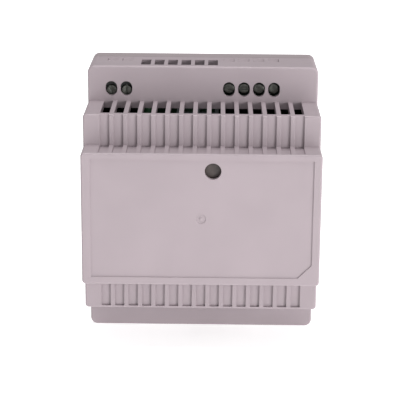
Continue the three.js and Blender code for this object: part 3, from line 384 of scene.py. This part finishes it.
def dipped(name, code):
    """Dipped coating: glossy, slightly uneven and darker where it pools."""
    recipe = Recipe(name, 0.3)
    pool = recipe.ranged(recipe.noise(1.8, 2), 0, 1)
    recipe.colour(recipe.mixed(pool, tinted(code, 0.8), tinted(code, 1.15)))
    recipe.bump(recipe.noise(1.1, 1), 0.05, 0.5)
    return recipe.material


def resin(name, low, high, roughness, clear=0.0):
    """Cast or moulded translucent plastic, with faint flow inside."""
    recipe = Recipe(name, roughness)
    flow = recipe.ranged(recipe.noise(1.5, 2), 0, 1)
    recipe.colour(recipe.mixed(flow, linear(low), linear(high)))
    recipe.shader.inputs["Transmission Weight"].default_value = clear
    recipe.bump(recipe.noise(0.5, 1), 0.01, 0.3)
    return recipe.material


def make_finishes():
    """Every material of the object, by name."""
    grainy = {"grain": 0.2, "depth": 0.01, "mottle": 0.1}
    return {
        "housing_plastic": moulded("housing_plastic", "9A8E93", 0.5),
        "base_plastic": moulded("base_plastic", "93888B", 0.52),
        "latch_plastic": moulded("latch_plastic", "2E2F32", 0.4, 0.3, 0.015, 0.08),
        "spring_steel": bare_metal("spring_steel", "A9ABAD", 0.28),
        "input_block_plastic": moulded("input_block_plastic", "101512", 0.42, **grainy),
        "output_block_plastic": moulded("output_block_plastic", "183022", 0.42, **grainy),
        "screw_steel": bare_metal("screw_steel", "8F928C", 0.36, (1, 6, 1), 0.5),
        "clamp_steel": bare_metal("clamp_steel", "7C7E78", 0.42, (1, 1, 1), 0.5, 0.6),
        "contact_brass": bare_metal("contact_brass", "B99A5C", 0.3, (1, 1, 5), 0.4),
        "board_laminate": laminate(),
        "moulded_black": moulded("moulded_black", "1A1A1C", 0.48, 0.18, 0.012, 0.12),
        "smoked_lens": resin("smoked_lens", "3A312F", "463C39", 0.4),
        "led_resin": resin("led_resin", "5F8F52", "8BB77A", 0.12, 0.4),
        "capacitor_sleeve": can_sleeve("capacitor_sleeve", "17191D", "24272C"),
        "sleeve_stripe": can_sleeve("sleeve_stripe", "8E9092", "A2A4A6"),
        "case_yellow": moulded("case_yellow", "C79C2C", 0.36, 0.5, 0.01, 0.06),
        "coated_green": dipped("coated_green", "3C6647"),
        "coated_blue": dipped("coated_blue", "2D5EA2"),
        "ferrite": ferrite(),
        "copper_wire": wound_copper(),
        "winding_tape": winding_tape(),
        "sink_aluminium": bare_metal("sink_aluminium", "A9ACB0", 0.4, (1, 0.15, 1), 0.35),
        "tinned_lead": bare_metal("tinned_lead", "B9BBBC", 0.3),
        "can_aluminium": bare_metal("can_aluminium", "C6C9CC", 0.3),
        "rubber_bung": moulded("rubber_bung", "19191A", 0.7, 0.15, 0.01, 0.1),
        "solder": bare_metal("solder", "BEC0BE", 0.22, (1, 1, 1), 0.6),
    }


# ------------------------------------------------------------------ mesh tools


def limits(node):
    """A node's lowest and highest corners."""
    low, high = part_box(node)
    return Vector(low) / MM, Vector(high) / MM


def middle(node):
    """Middle of a node's box."""
    low, high = limits(node)
    return (low + high) / 2


def point_on(axis, centre, across, along):
    """Point beside an axis through a centre: two offsets across it and a place along it."""
    u, v = across
    if axis == "y":
        return Vector((centre.x + u, along, centre.z + v)) * MM
    if axis == "x":
        return Vector((along, centre.y + u, centre.z + v)) * MM
    return Vector((centre.x + u, centre.y + v, along)) * MM


def rounded(profile, radius, steps=3):
    """The profile with each inner corner turned into a small arc."""
    points = [Vector(point) for point in profile]
    result = [points[0]]
    for before, corner, after in zip(points, points[1:], points[2:]):
        back = before - corner
        ahead = after - corner
        reach = min(radius, back.length * 0.45, ahead.length * 0.45)
        start = corner + back.normalized() * reach
        end = corner + ahead.normalized() * reach
        for step in range(steps + 1):
            share = step / steps
            result.append(start.lerp(corner, share).lerp(corner.lerp(end, share), share))
    result.append(points[-1])
    return result


def bridge(work, first, second, slot=0):
    """Skins the space between two rings, either of which may be a single point."""
    count = max(len(first), len(second))
    for step in range(count):
        after = (step + 1) % count
        corners = [first[step % len(first)], first[after % len(first)]]
        corners += [second[after % len(second)], second[step % len(second)]]
        unique = list(dict.fromkeys(corners))
        if len(unique) > 2:
            work.faces.new(unique).material_index = slot


def turned(work, profile, centre, axis="y", sides=40):
    """Adds a closed body turned about an axis; the profile lists (radius, along) points."""
    rings = []
    for radius, along in profile:
        count = 1 if radius < 1e-6 else sides
        ring = []
        for step in range(count):
            angle = 2 * math.pi * step / sides
            across = (radius * math.cos(angle), radius * math.sin(angle))
            ring.append(work.verts.new(point_on(axis, centre, across, along)))
        rings.append(ring)
    for first, second in zip(rings, rings[1:]):
        bridge(work, first, second)
    if len(rings[0]) > 1:
        bridge(work, rings[-1], rings[0])


def tube(work, path, radius, sides=10, slot=0):
    """Adds round wire along a list of points, closed at both ends."""
    points = [Vector(point) * MM for point in path]
    normal = (points[1] - points[0]).orthogonal().normalized()
    rings = []
    for index, point in enumerate(points):
        before = points[max(index - 1, 0)]
        after = points[min(index + 1, len(points) - 1)]
        direction = (after - before).normalized()
        normal = (normal - direction * normal.dot(direction)).normalized()
        side = direction.cross(normal)
        ring = []
        for step in range(sides):
            angle = 2 * math.pi * step / sides
            offset = (normal * math.cos(angle) + side * math.sin(angle)) * radius * MM
            ring.append(work.verts.new(point + offset))
        rings.append(ring)
    for first, second in zip(rings, rings[1:]):
        bridge(work, first, second, slot)
    work.faces.new(list(reversed(rings[0]))).material_index = slot
    work.faces.new(rings[-1]).material_index = slot


# Corners of each face of a box, its corners counted with z changing first and x last.
BOX_FACES = ((0, 1, 3, 2), (4, 6, 7, 5), (0, 4, 5, 1), (2, 3, 7, 6), (0, 2, 6, 4), (1, 5, 7, 3))


def block(work, low, high):
    """Adds a box between two corners."""
    corners = [
        work.verts.new(Vector((x, y, z)) * MM)
        for x in (low[0], high[0])
        for y in (low[1], high[1])
        for z in (low[2], high[2])
    ]
    for indices in BOX_FACES:
        work.faces.new([corners[i] for i in indices])


def make_object(name, work, finishes):
    """Object from a bmesh, smooth-shaded except across its sharp edges."""
    bmesh.ops.recalc_face_normals(work, faces=work.faces)
    for edge in work.edges:
        if len(edge.link_faces) == 2 and edge.calc_face_angle(0) > math.radians(SHARP_ANGLE):
            edge.smooth = False
    mesh = bpy.data.meshes.new(name)
    work.to_mesh(mesh)
    work.free()
    obj = bpy.data.objects.new(name, mesh)
    bpy.context.scene.collection.objects.link(obj)
    for finish in finishes:
        mesh.materials.append(FINISHES[finish])
    for polygon in mesh.polygons:
        polygon.use_smooth = True
    return obj


def combine(obj, other, operation):
    """Joins, cuts or intersects an object with another, which is used up."""
    modifier = obj.modifiers.new("combine", "BOOLEAN")
    modifier.operation = operation
    modifier.solver = "EXACT"
    modifier.object = other
    graph = bpy.context.evaluated_depsgraph_get()
    mesh = bpy.data.meshes.new_from_object(obj.evaluated_get(graph))
    obj.modifiers.clear()
    obj.data = mesh
    bpy.data.objects.remove(other)


def carve(obj, cutter_work):
    """Cuts the shapes in a bmesh out of an object."""
    combine(obj, make_object("cutter", cutter_work, []), "DIFFERENCE")


def soften(obj, width):
    """Fine fillet of one width on every edge above SOFTEN_ANGLE."""
    bevel = obj.modifiers.new("fillet", "BEVEL")
    bevel.limit_method = "ANGLE"
    bevel.angle_limit = math.radians(SOFTEN_ANGLE)
    bevel.width = width * MM
    bevel.segments = 2
    for edge in obj.data.edges:
        edge.use_edge_sharp = False
    normals = obj.modifiers.new("normals", "WEIGHTED_NORMAL")
    normals.keep_sharp = True


def settle(obj, body, slot, *nodes):
    """Puts a finished piece on its body, and hides the nodes it stands for; its slot is not used."""
    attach(obj, body)
    if nodes:
        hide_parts(*nodes)


# ------------------------------------------------------------------ skins on CAD shapes


def cad_work(node):
    """The CAD node's own shape, welded, with its flat faces made whole again."""
    work = bmesh.new()
    work.from_mesh(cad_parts[node].data)
    bmesh.ops.remove_doubles(work, verts=work.verts, dist=0.002 * MM)
    bmesh.ops.dissolve_limit(
        work, angle_limit=math.radians(0.6), verts=work.verts, edges=work.edges
    )
    bmesh.ops.recalc_face_normals(work, faces=work.faces)
    return work


def fillet_edges(obj, width_of, segments=2, clamp=False):
    """Fillets the edges above FILLET_ANGLE, each by its own width; at width 0 an edge stays sharp."""
    work = bmesh.new()
    work.from_mesh(obj.data)
    layer = work.edges.layers.float.new("bevel_weight_edge")
    for edge in work.edges:
        if len(edge.link_faces) == 2 and edge.calc_face_angle(0) > math.radians(FILLET_ANGLE):
            width = width_of(edge)
            edge[layer] = width
            edge.smooth = width > 0
        else:
            edge.smooth = True
    for face in work.faces:
        face.smooth = True
    work.to_mesh(obj.data)
    work.free()
    bevel = obj.modifiers.new("fillet", "BEVEL")
    bevel.limit_method = "WEIGHT"
    bevel.width = 1 * MM
    bevel.segments = segments
    bevel.use_clamp_overlap = clamp
    normals = obj.modifiers.new("normals", "WEIGHTED_NORMAL")
    normals.keep_sharp = True


def even(width):
    """Width rule that gives every edge the same fillet."""
    return lambda edge: width


def skin(node, name, body, slot, width_of, finishes=None, segments=2, paint=None):
    """A piece with a CAD node's own shape, fillets on its edges, and one or more materials."""
    work = cad_work(node)
    if paint:
        for face in work.faces:
            face.material_index = paint(face.calc_center_median() / MM)
    skinned = make_object(name, work, finishes or [slot])
    fillet_edges(skinned, width_of, segments, clamp=True)
    settle(skinned, body, slot, node)


# ------------------------------------------------------------------ shells and latch


def rounded_outline(half, low, high, radius, inset):
    """Points of a rounded rectangle round a step, drawn in by an inset."""
    points = []
    corners = (
        (half - radius, high - radius, 0.0),
        (radius - half, high - radius, 0.5),
        (radius - half, low + radius, 1.0),
        (half - radius, low + radius, 1.5),
    )
    for x, z, start in corners:
        for step in range(CORNER_STEPS + 1):
            angle = math.pi * (start + 0.5 * step / CORNER_STEPS)
            reach = radius - inset
            points.append((x + reach * math.cos(angle), z + reach * math.sin(angle)))
    return points


def rounded_step(front, low, high, radius):
    """Solid of one step of the housing, a hair larger than it, with a fillet round its front."""
    spare = 0.015
    front, low, high = front - spare, low - spare, high + spare
    rings = []
    for step in range(FILLET_STEPS + 1):
        angle = math.pi / 2 * step / FILLET_STEPS
        inset = OUTER_FILLET * (1 - math.sin(angle))
        depth = front + OUTER_FILLET * (1 - math.cos(angle))
        rings.append((depth, inset))
    rings.append((COVER_REAR + 1, 0.0))
    work = bmesh.new()
    loops = []
    for depth, inset in rings:
        outline = rounded_outline(SIDE + spare, low, high, radius + spare, inset)
        loops.append([work.verts.new(Vector((x, depth, z)) * MM) for x, z in outline])
    for first, second in zip(loops, loops[1:]):
        bridge(work, first, second)
    work.faces.new(list(reversed(loops[0])))
    work.faces.new(loops[-1])
    return make_object("step", work, [])


def depth_inside(point):
    """How far a point lies below the housing's stepped outer surface."""
    return max(
        min(point.y - front, point.z - low, high - point.z, SIDE - abs(point.x))
        for front, low, high, radius in STEPS
    )


def rib_width(edge):
    """Fillet width on the upright edges of the ribs, and on the recess in the face."""
    start, end = (vertex.co / MM for vertex in edge.verts)
    place = (start + end) / 2
    upright = abs(start.x - end.x) < 0.01 and abs(start.y - end.y) < 0.01
    if upright and abs(place.y - STEPS[1][0]) < 0.02 and abs(place.x) < SIDE - 2:
        return RIB_FILLET
    on_face = STEPS[0][0] - 0.02 < place.y < STEPS[0][0] + 0.9
    return FINE_FILLET if on_face and depth_inside(place) > 0.02 else 0.0


def base_width(edge):
    """Fillet width on the rear base: none towards the front, most at the very back."""
    place = (edge.verts[0].co + edge.verts[1].co) / 2 / MM
    if place.y < 0:
        return 0
    return 0.3 if place.y > 5.4 else 0.12


def build_cover():
    """Front cover: the CAD shape with its steps' rims rounded, and fine fillets on ribs."""
    work = cad_work("front_cover")
    cover = make_object("front_cover_shell", work, ["housing_plastic"])
    envelope, *others = [rounded_step(*step) for step in STEPS]
    for other in others:
        combine(envelope, other, "UNION")
    combine(cover, envelope, "INTERSECT")
    fillet_edges(cover, rib_width)
    cover.data.materials.clear()
    cover.data.materials.append(FINISHES["housing_plastic"])
    settle(cover, HOUSING, "housing_plastic", "front_cover")


def build_shells():
    """Front cover, rear base, and the latch that slides in the base."""
    build_cover()
    skin("rear_base", "rear_base_shell", HOUSING, "base_plastic", base_width)
    latch = "rail_latch"
    skin(latch, f"{latch}_slider", latch, "latch_plastic", even(0.25), segments=3)


def build_spring():
    """Latch spring: round wire, its end turns closed up, pressed together by the latch."""
    low, high = limits("latch_spring")
    centre = middle("latch_spring")
    wire = 0.25
    turns = 7
    closed = 2.1 * wire  # rise of each end turn
    coil = (high.x - low.x) / 2 - wire
    bottom = low.z + wire
    rise = high.z - low.z - 2 * wire
    steps = 24 * turns
    path = []
    for step in range(steps + 1):
        turn = turns * step / steps
        if turn < 1:
            height = closed * turn
        elif turn > turns - 1:
            height = rise - closed * (turns - turn)
        else:
            height = closed + (rise - 2 * closed) * (turn - 1) / (turns - 2)
        angle = 2 * math.pi * turn
        across = (coil * math.cos(angle), coil * math.sin(angle))
        path.append((centre.x + across[0], centre.y + across[1], bottom + height))
    work = bmesh.new()
    tube(work, path, wire, 12)
    spring = make_object("latch_spring_coil", work, ["spring_steel"])
    settle(spring, HOUSING, "spring_steel", "latch_spring")
    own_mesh(spring)


# ------------------------------------------------------------------ terminals


def build_clamp_screw(pole):
    """Steel screw: slotted head with a rounded rim, grooved shank and rounded tip."""
    node = f"clamp_screw_{pole}"
    low, high = limits(node)
    centre = middle(node)
    head = (high.x - low.x) / 2
    shank, root, pitch = 1.1, 0.92, 0.5
    front, head_rear = low.y, CLAMP_HEAD_REAR
    outline = [(0, front), (head, front), (head, head_rear), (shank, head_rear)]
    outline.append((shank, CLAMP_NECK))
    profile = rounded(outline, 0.28)
    crest = CLAMP_NECK
    while crest + pitch < high.y - 0.4:
        profile += [(root, crest + pitch / 2), (shank, crest + pitch)]
        crest += pitch
    profile += rounded([(root, crest + 0.15), (0.7, high.y), (0, high.y)], 0.2)
    work = bmesh.new()
    turned(work, profile, centre)
    screw = make_object(f"clamp_screw_{pole}_slotted", work, ["clamp_steel"])
    cutter = bmesh.new()
    slot_half, slot_depth, reach = 0.35, 0.6, head + 1
    block(cutter, (-reach, -slot_depth, -slot_half), (reach, slot_depth, slot_half))
    turn = Matrix.Rotation(SLOT_ANGLES[pole], 4, "Y")
    shift = Matrix.Translation(Vector((centre.x, front, centre.z)) * MM)
    bmesh.ops.transform(cutter, matrix=shift @ turn, verts=cutter.verts)
    carve(screw, cutter)
    soften(screw, 0.05)
    settle(screw, node, "screw_steel", node)


def build_terminals():
    """Both terminal blocks, and the screw, cage and contact bar of every pole."""
    for side in ("input", "output"):
        node = f"{side}_terminal_block"
        skin(node, f"{node}_body", HOUSING, f"{side}_block_plastic", even(0.12))
    for pole in SLOT_ANGLES:
        build_clamp_screw(pole)
        cage = f"clamp_cage_{pole}"
        skin(cage, f"{cage}_sleeve", cage, "screw_steel", even(0.14), ["clamp_steel"])
        bar = f"contact_bar_{pole}"
        skin(bar, f"{bar}_strip", HOUSING, "contact_brass", even(0.08))


# ------------------------------------------------------------------ boards and indicator


def lead_places(node):
    """Middles of a node's lead ends, where they come through the main board."""
    points = [v.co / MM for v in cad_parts[node].data.vertices]
    groups = []
    for point in (p for p in points if abs(p.y - LEAD_END) < 0.02):
        home = next((g for g in groups if (g[0] - point).length < 1.6), None)
        if home:
            home.append(point)
        else:
            groups.append([point])
    places = []
    for group in groups:
        xs = [point.x for point in group]
        zs = [point.z for point in group]
        places.append(Vector(((min(xs) + max(xs)) / 2, LEAD_END, (min(zs) + max(zs)) / 2)))
    return places


def legs(work, node, start, slot=0):
    """Adds straight wire legs at a node's lead places, from a plane through the board."""
    for place in lead_places(node):
        path = [(place.x, y, place.z) for y in (start, (start + LEAD_END) / 2, LEAD_END)]
        tube(work, path, LEG_RADIUS, 12, slot)


def build_boards():
    """Both circuit boards, and a solder cone at every lead end."""
    for node in ("main_board", "control_board"):
        skin(node, f"{node}_laminate", HOUSING, "board_laminate", even(0.08))
    foot = BOARD_REAR + 0.02
    cone = [(0, foot), (1.05, foot), (0.8, foot + 0.12), (0.62, foot + 0.3)]
    cone += [(0.5, foot + 0.6), (0, foot + 0.66)]
    work = bmesh.new()
    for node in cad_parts:
        if node not in ("main_board", "control_board", "rear_base", "front_cover"):
            for place in lead_places(node):
                turned(work, rounded(cone, 0.1, 2), place, sides=20)
    joints = make_object("solder_joints", work, ["solder"])
    settle(joints, HOUSING, None)


def build_indicator():
    """Round lamp with a flange and dome, and the smoked cap pushed over it."""
    low, high = limits("status_led_cap")
    centre = middle("status_led_cap")
    outer = (high.x - low.x) / 2
    wall, floor = 0.5, 0.7
    inner = outer - wall
    cup = [(0, low.y), (outer, low.y), (outer, high.y), (inner, high.y)]
    cup += [(inner, low.y + floor), (0, low.y + floor)]
    work = bmesh.new()
    turned(work, rounded(cup, 0.2), centre, sides=64)
    cap = make_object("status_led_cap_cup", work, ["smoked_lens"])
    settle(cap, HOUSING, "smoked_lens", "status_led_cap")

    tip = limits("status_led")[0].y
    radius, flange, rear, shoulder = 2.5, 2.9, -39.6, -46.1
    profile = []
    dome_steps = 8
    for step in range(dome_steps + 1):
        angle = math.pi / 2 * step / dome_steps
        profile.append((radius * math.sin(angle), shoulder + (tip - shoulder) * math.cos(angle)))
    skirt = [(radius, shoulder), (radius, rear - 1), (flange, rear - 1), (flange, rear), (0, rear)]
    profile += rounded(skirt, 0.12)
    work = bmesh.new()
    turned(work, profile, centre, sides=48)
    end = limits("status_led")[1].x
    leg_spacing, bent, run = 2.54, -38.2, -37.4
    for side in (-1, 1):
        z = centre.z + side * leg_spacing / 2
        path = [(centre.x, rear - 0.5, z), (centre.x, bent, z), (centre.x + 0.25, -37.55, z)]
        path += [(centre.x + 0.9, run, z), ((centre.x + end) / 2, run, z), (end, run, z)]
        tube(work, path, 0.24, 10, 1)
    lamp = make_object("status_led_lamp", work, ["led_resin", "tinned_lead"])
    settle(lamp, HOUSING, "led_resin", "status_led")


# ------------------------------------------------------------------ circuit parts


def build_can(node, stripe_angle):
    """Electrolytic can with stripe, groove and bung, meant to have a scored lid.

    Known fault: after the cut for the score only the two wire legs are left, and the can's body is
    gone. The cause is not established. The two bars in scores cross, as the arms of the pan-head
    screws' recess did when that cut failed, and the legs overlap the body.
    """
    low, high = limits(node)
    centre = middle(node)
    radius = (high.x - low.x) / 2
    groove = PART_REAR - 2.8
    lip, recess = radius * 0.86, 0.25
    stripe_half = 0.45  # radians
    finishes = ["capacitor_sleeve", "sleeve_stripe", "can_aluminium", "rubber_bung", "tinned_lead"]
    outline = [
        (0, low.y + recess),
        (lip, low.y + recess),
        (lip + 0.15, low.y),
        (radius, low.y),
        (radius, groove - 0.9),
        (radius - 0.5, groove),
        (radius, groove + 0.9),
        (radius, PART_REAR - 0.1),
        (radius - 0.6, PART_REAR - 0.1),
        (radius - 0.7, PART_REAR - 0.45),
        (0, PART_REAR - 0.45),
    ]
    work = bmesh.new()
    turned(work, rounded(outline, 0.4), centre, sides=72)
    for face in work.faces:
        place = face.calc_center_median() / MM
        reach = math.hypot(place.x - centre.x, place.z - centre.z)
        angle = math.atan2(place.z - centre.z, place.x - centre.x) - stripe_angle
        if place.y < low.y + 1 and reach < lip + 0.3:
            face.material_index = finishes.index("can_aluminium")
        elif place.y > PART_REAR - 0.6 and reach < radius - 0.4:
            face.material_index = finishes.index("rubber_bung")
        elif abs(math.remainder(angle, 2 * math.pi)) < stripe_half:
            face.material_index = finishes.index("sleeve_stripe")
    legs(work, node, PART_REAR - 0.5, finishes.index("tinned_lead"))
    can = make_object(f"{node}_can", work, finishes)
    scores = bmesh.new()
    for turn in (0.0, math.pi / 2):
        bar = bmesh.new()
        block(bar, (-lip * 0.7, -0.1, -0.12), (lip * 0.7, 0.12, 0.12))
        spin = Matrix.Rotation(stripe_angle + turn, 4, "Y")
        shift = Matrix.Translation(Vector((centre.x, low.y + recess, centre.z)) * MM)
        bmesh.ops.transform(bar, matrix=shift @ spin, verts=bar.verts)
        mesh = bpy.data.meshes.new("bar")
        bar.to_mesh(mesh)
        bar.free()
        scores.from_mesh(mesh)
        bpy.data.meshes.remove(mesh)
    carve(can, scores)
    settle(can, HOUSING, "capacitor_sleeve", node)


def build_fuse():
    """Radial fuse: round black cap with a stepped lid."""
    low, high = limits("fuse")
    centre = middle("fuse")
    radius = (high.x - low.x) / 2
    outline = [(0, low.y), (radius - 0.5, low.y), (radius - 0.5, low.y + 0.5)]
    outline += [(radius, low.y + 0.5), (radius, PART_REAR), (0, PART_REAR)]
    work = bmesh.new()
    turned(work, rounded(outline, 0.25), centre, sides=56)
    legs(work, "fuse", PART_REAR - 0.3, 1)
    fuse = make_object("fuse_cap", work, ["moulded_black", "tinned_lead"])
    settle(fuse, HOUSING, "moulded_black", "fuse")


def build_disc(node, axis, slot):
    """Dipped disc standing on edge, its coating running a little way down both legs."""
    low, high = limits(node)
    centre = middle(node)
    across = (high.z - low.z) / 2 if axis == "x" else (high.x - low.x) / 2
    centre.y = low.y + across
    start, end = (low.x, high.x) if axis == "x" else (low.z, high.z)
    half = (end - start) / 2
    profile = []
    steps = 20
    for step in range(steps + 1):
        angle = math.pi * step / steps
        reach = across * math.sin(angle) ** 0.45
        profile.append((reach, (start + end) / 2 - half * math.cos(angle)))
    work = bmesh.new()
    turned(work, profile, centre, axis, sides=48)
    for place in lead_places(node):
        run = centre.y + across * 0.7
        skirt = [(0, run - 1), (0.75, run), (0.6, run + 1.2), (0.36, run + 2), (0, run + 2)]
        turned(work, rounded(skirt, 0.2), place, sides=16)
        path = [(place.x, y, place.z) for y in (run, (run + LEAD_END) / 2, LEAD_END)]
        tube(work, path, 0.32, 12, 1)
    disc = make_object(f"{node}_disc", work, [slot, "tinned_lead"])
    settle(disc, HOUSING, slot, node)


def ring_turn(centre, radii, depth, angle):
    """One turn of wire round a ring's section at an angle, as a list of points."""
    inner, outer = radii
    front, rear = depth
    radial_half = (outer - inner) / 2 + WIRE_OUT
    depth_half = (rear - front) / 2 + WIRE_OUT
    points = []
    for step in range(TURN_STEPS):
        turn = 2 * math.pi * step / TURN_STEPS
        cosine, sine = math.cos(turn), math.sin(turn)
        radial = math.copysign(abs(cosine) ** TURN_SQUARENESS, cosine) * radial_half
        along = math.copysign(abs(sine) ** TURN_SQUARENESS, sine) * depth_half
        reach = (inner + outer) / 2 + radial
        x = centre.x + reach * math.cos(angle)
        z = centre.z + reach * math.sin(angle)
        points.append((x, (front + rear) / 2 + along, z))
    return points


def closed_ring(work, path, radius, sides=10):
    """Adds a closed loop of round wire."""
    points = [Vector(point) * MM for point in path]
    middle_point = sum(points, Vector()) / len(points)
    plane = (points[0] - middle_point).cross(points[len(points) // 4] - middle_point).normalized()
    rings = []
    for index, point in enumerate(points):
        direction = (points[(index + 1) % len(points)] - points[index - 1]).normalized()
        outward = direction.cross(plane)
        ring = []
        for step in range(sides):
            angle = 2 * math.pi * step / sides
            offset = (plane * math.cos(angle) + outward * math.sin(angle)) * radius * MM
            ring.append(work.verts.new(point + offset))
        rings.append(ring)
    for index, ring in enumerate(rings):
        bridge(work, rings[index - 1], ring)


def build_toroid_winding(node, core, angles):
    """Turns of enamelled wire round a ring core, with legs down to the board."""
    low, high = limits(core)
    centre = middle(core)
    outer = (high.x - low.x) / 2
    inner = TOROID_BORES[core]
    work = bmesh.new()
    for angle in angles:
        closed_ring(work, ring_turn(centre, (inner, outer), (low.y, high.y), angle), WIRE)
    legs(work, node, high.y + WIRE_OUT)
    winding = make_object(f"{node}_wire", work, ["copper_wire"])
    settle(winding, HOUSING, "copper_wire", node)


def build_toroids():
    """Both ring cores, two windings on the choke and one on the output inductor."""
    for core, inner in TOROID_BORES.items():
        low, high = limits(core)
        outer = (high.x - low.x) / 2
        section = [(inner, (low.y + high.y) / 2), (inner, low.y), (outer, low.y)]
        section += [(outer, high.y), (inner, high.y), (inner, (low.y + high.y) / 2 + 0.01)]
        work = bmesh.new()
        turned(work, rounded(section, 0.9, 4), middle(core), sides=72)
        finish = "coated_green" if core == "inductor_core" else "ferrite"
        ring = make_object(f"{core}_ring", work, [finish])
        settle(ring, HOUSING, finish, core)
    spread = 0.17
    for node, side in (("choke_winding_line", math.pi), ("choke_winding_neutral", 0.0)):
        angles = [side + spread * (turn - 3) * 1.15 for turn in range(7)]
        build_toroid_winding(node, "choke_core", angles)
    turns = 20
    gap = math.radians(46)
    step = (2 * math.pi - gap) / (turns - 1)
    start = -math.pi / 2 + gap / 2
    angles = [start + step * turn for turn in range(turns)]
    build_toroid_winding("inductor_winding", "inductor_core", angles)


def build_pan_screw(node, axis):
    """Pan-head screw with a cross recess and a grooved shank."""
    low, high = limits(node)
    centre = middle(node)
    start, end = getattr(low, axis), getattr(high, axis)
    head, shank, root, pitch, head_height = 2.75, 1.25, 1.02, 0.5, 2.0
    under = start + head_height
    outline = [(0, start), (head * 0.6, start + 0.05), (head, start + 0.9), (head, under)]
    outline.append((shank, under))
    profile = rounded(outline, 0.5)
    crest = under + 0.2
    profile.append((shank, crest))
    while crest + pitch < end - 0.5:
        profile += [(root, crest + pitch / 2), (shank, crest + pitch)]
        crest += pitch
    profile += [(root, end - 0.2), (0.6, end), (0, end)]
    work = bmesh.new()
    turned(work, profile, centre, axis)
    screw = make_object(f"{node}_pan_head", work, ["screw_steel"])
    arm, half, depth = 1.45, 0.33, 1.0
    # One arm at a time: the exact boolean can fail on a cutter that crosses itself.
    for u, v in ((arm, half), (half, arm)):
        first = point_on(axis, centre, (-u, -v), start - 1) / MM
        last = point_on(axis, centre, (u, v), start + depth) / MM
        cutter = bmesh.new()
        block(cutter, first, last)
        carve(screw, cutter)
    soften(screw, 0.04)
    settle(screw, HOUSING, "screw_steel", node)


def build_package(node, axis):
    """Power package: tinned metal tab behind a moulded body, and three legs."""
    tab, leg_start = 1.3, -8.35
    tab_face = getattr(limits(node)[1], axis) - tab - 0.02

    def paint(place):
        tinned = place.y > leg_start or getattr(place, axis) > tab_face
        return 1 if tinned else 0

    finishes = ["moulded_black", "tinned_lead"]
    skin(node, f"{node}_package", HOUSING, "moulded_black", even(0.12), finishes, paint=paint)


# Circuit parts that keep their CAD shape: node, finish, fillet width, and whether legs are tinned.
SKINNED_PARTS = (
    ("pwm_controller", "moulded_black", 0.05, False),
    ("optocoupler", "moulded_black", 0.12, True),
    ("bridge_rectifier", "moulded_black", 0.3, True),
    ("x_capacitor", "case_yellow", 0.35, True),
    ("transformer_core", "ferrite", 0.25, False),
    ("transformer_bobbin", "moulded_black", 0.15, True),
    ("transformer_winding", "winding_tape", 0.3, False),
    ("primary_heatsink", "sink_aluminium", 0.12, False),
    ("secondary_heatsink", "sink_aluminium", 0.12, False),
)


def tinned_behind_part(place):
    """Second material on what lies behind the parts' rear plane, which is their legs."""
    return 1 if place.y > PART_REAR + 0.02 else 0


def build_circuit():
    """Everything soldered to the boards, and the screws that hold boards and heatsinks."""
    build_can("bulk_capacitor", 2.4)
    for index, angle in enumerate((1.2, 0.3, -1.0), 1):
        build_can(f"output_capacitor_{index}", angle)
    build_fuse()
    build_disc("inrush_thermistor", "x", "coated_green")
    build_disc("y_capacitor", "z", "coated_blue")
    build_toroids()
    for index in range(1, 5):
        build_pan_screw(f"board_screw_{index}", "y")
    build_pan_screw("heatsink_screw_1", "z")
    build_pan_screw("heatsink_screw_2", "x")
    build_package("switching_transistor", "z")
    build_package("rectifier_diode", "x")
    for node, slot, width, tinned in SKINNED_PARTS:
        paint = tinned_behind_part if tinned else None
        finishes = [slot, "tinned_lead"]
        skin(node, f"{node}_body", HOUSING, slot, even(width), finishes, paint=paint)


FINISHES = make_finishes()
add_camera()
add_studio()
build_shells()
build_spring()
build_terminals()
build_boards()
build_indicator()
build_circuit()
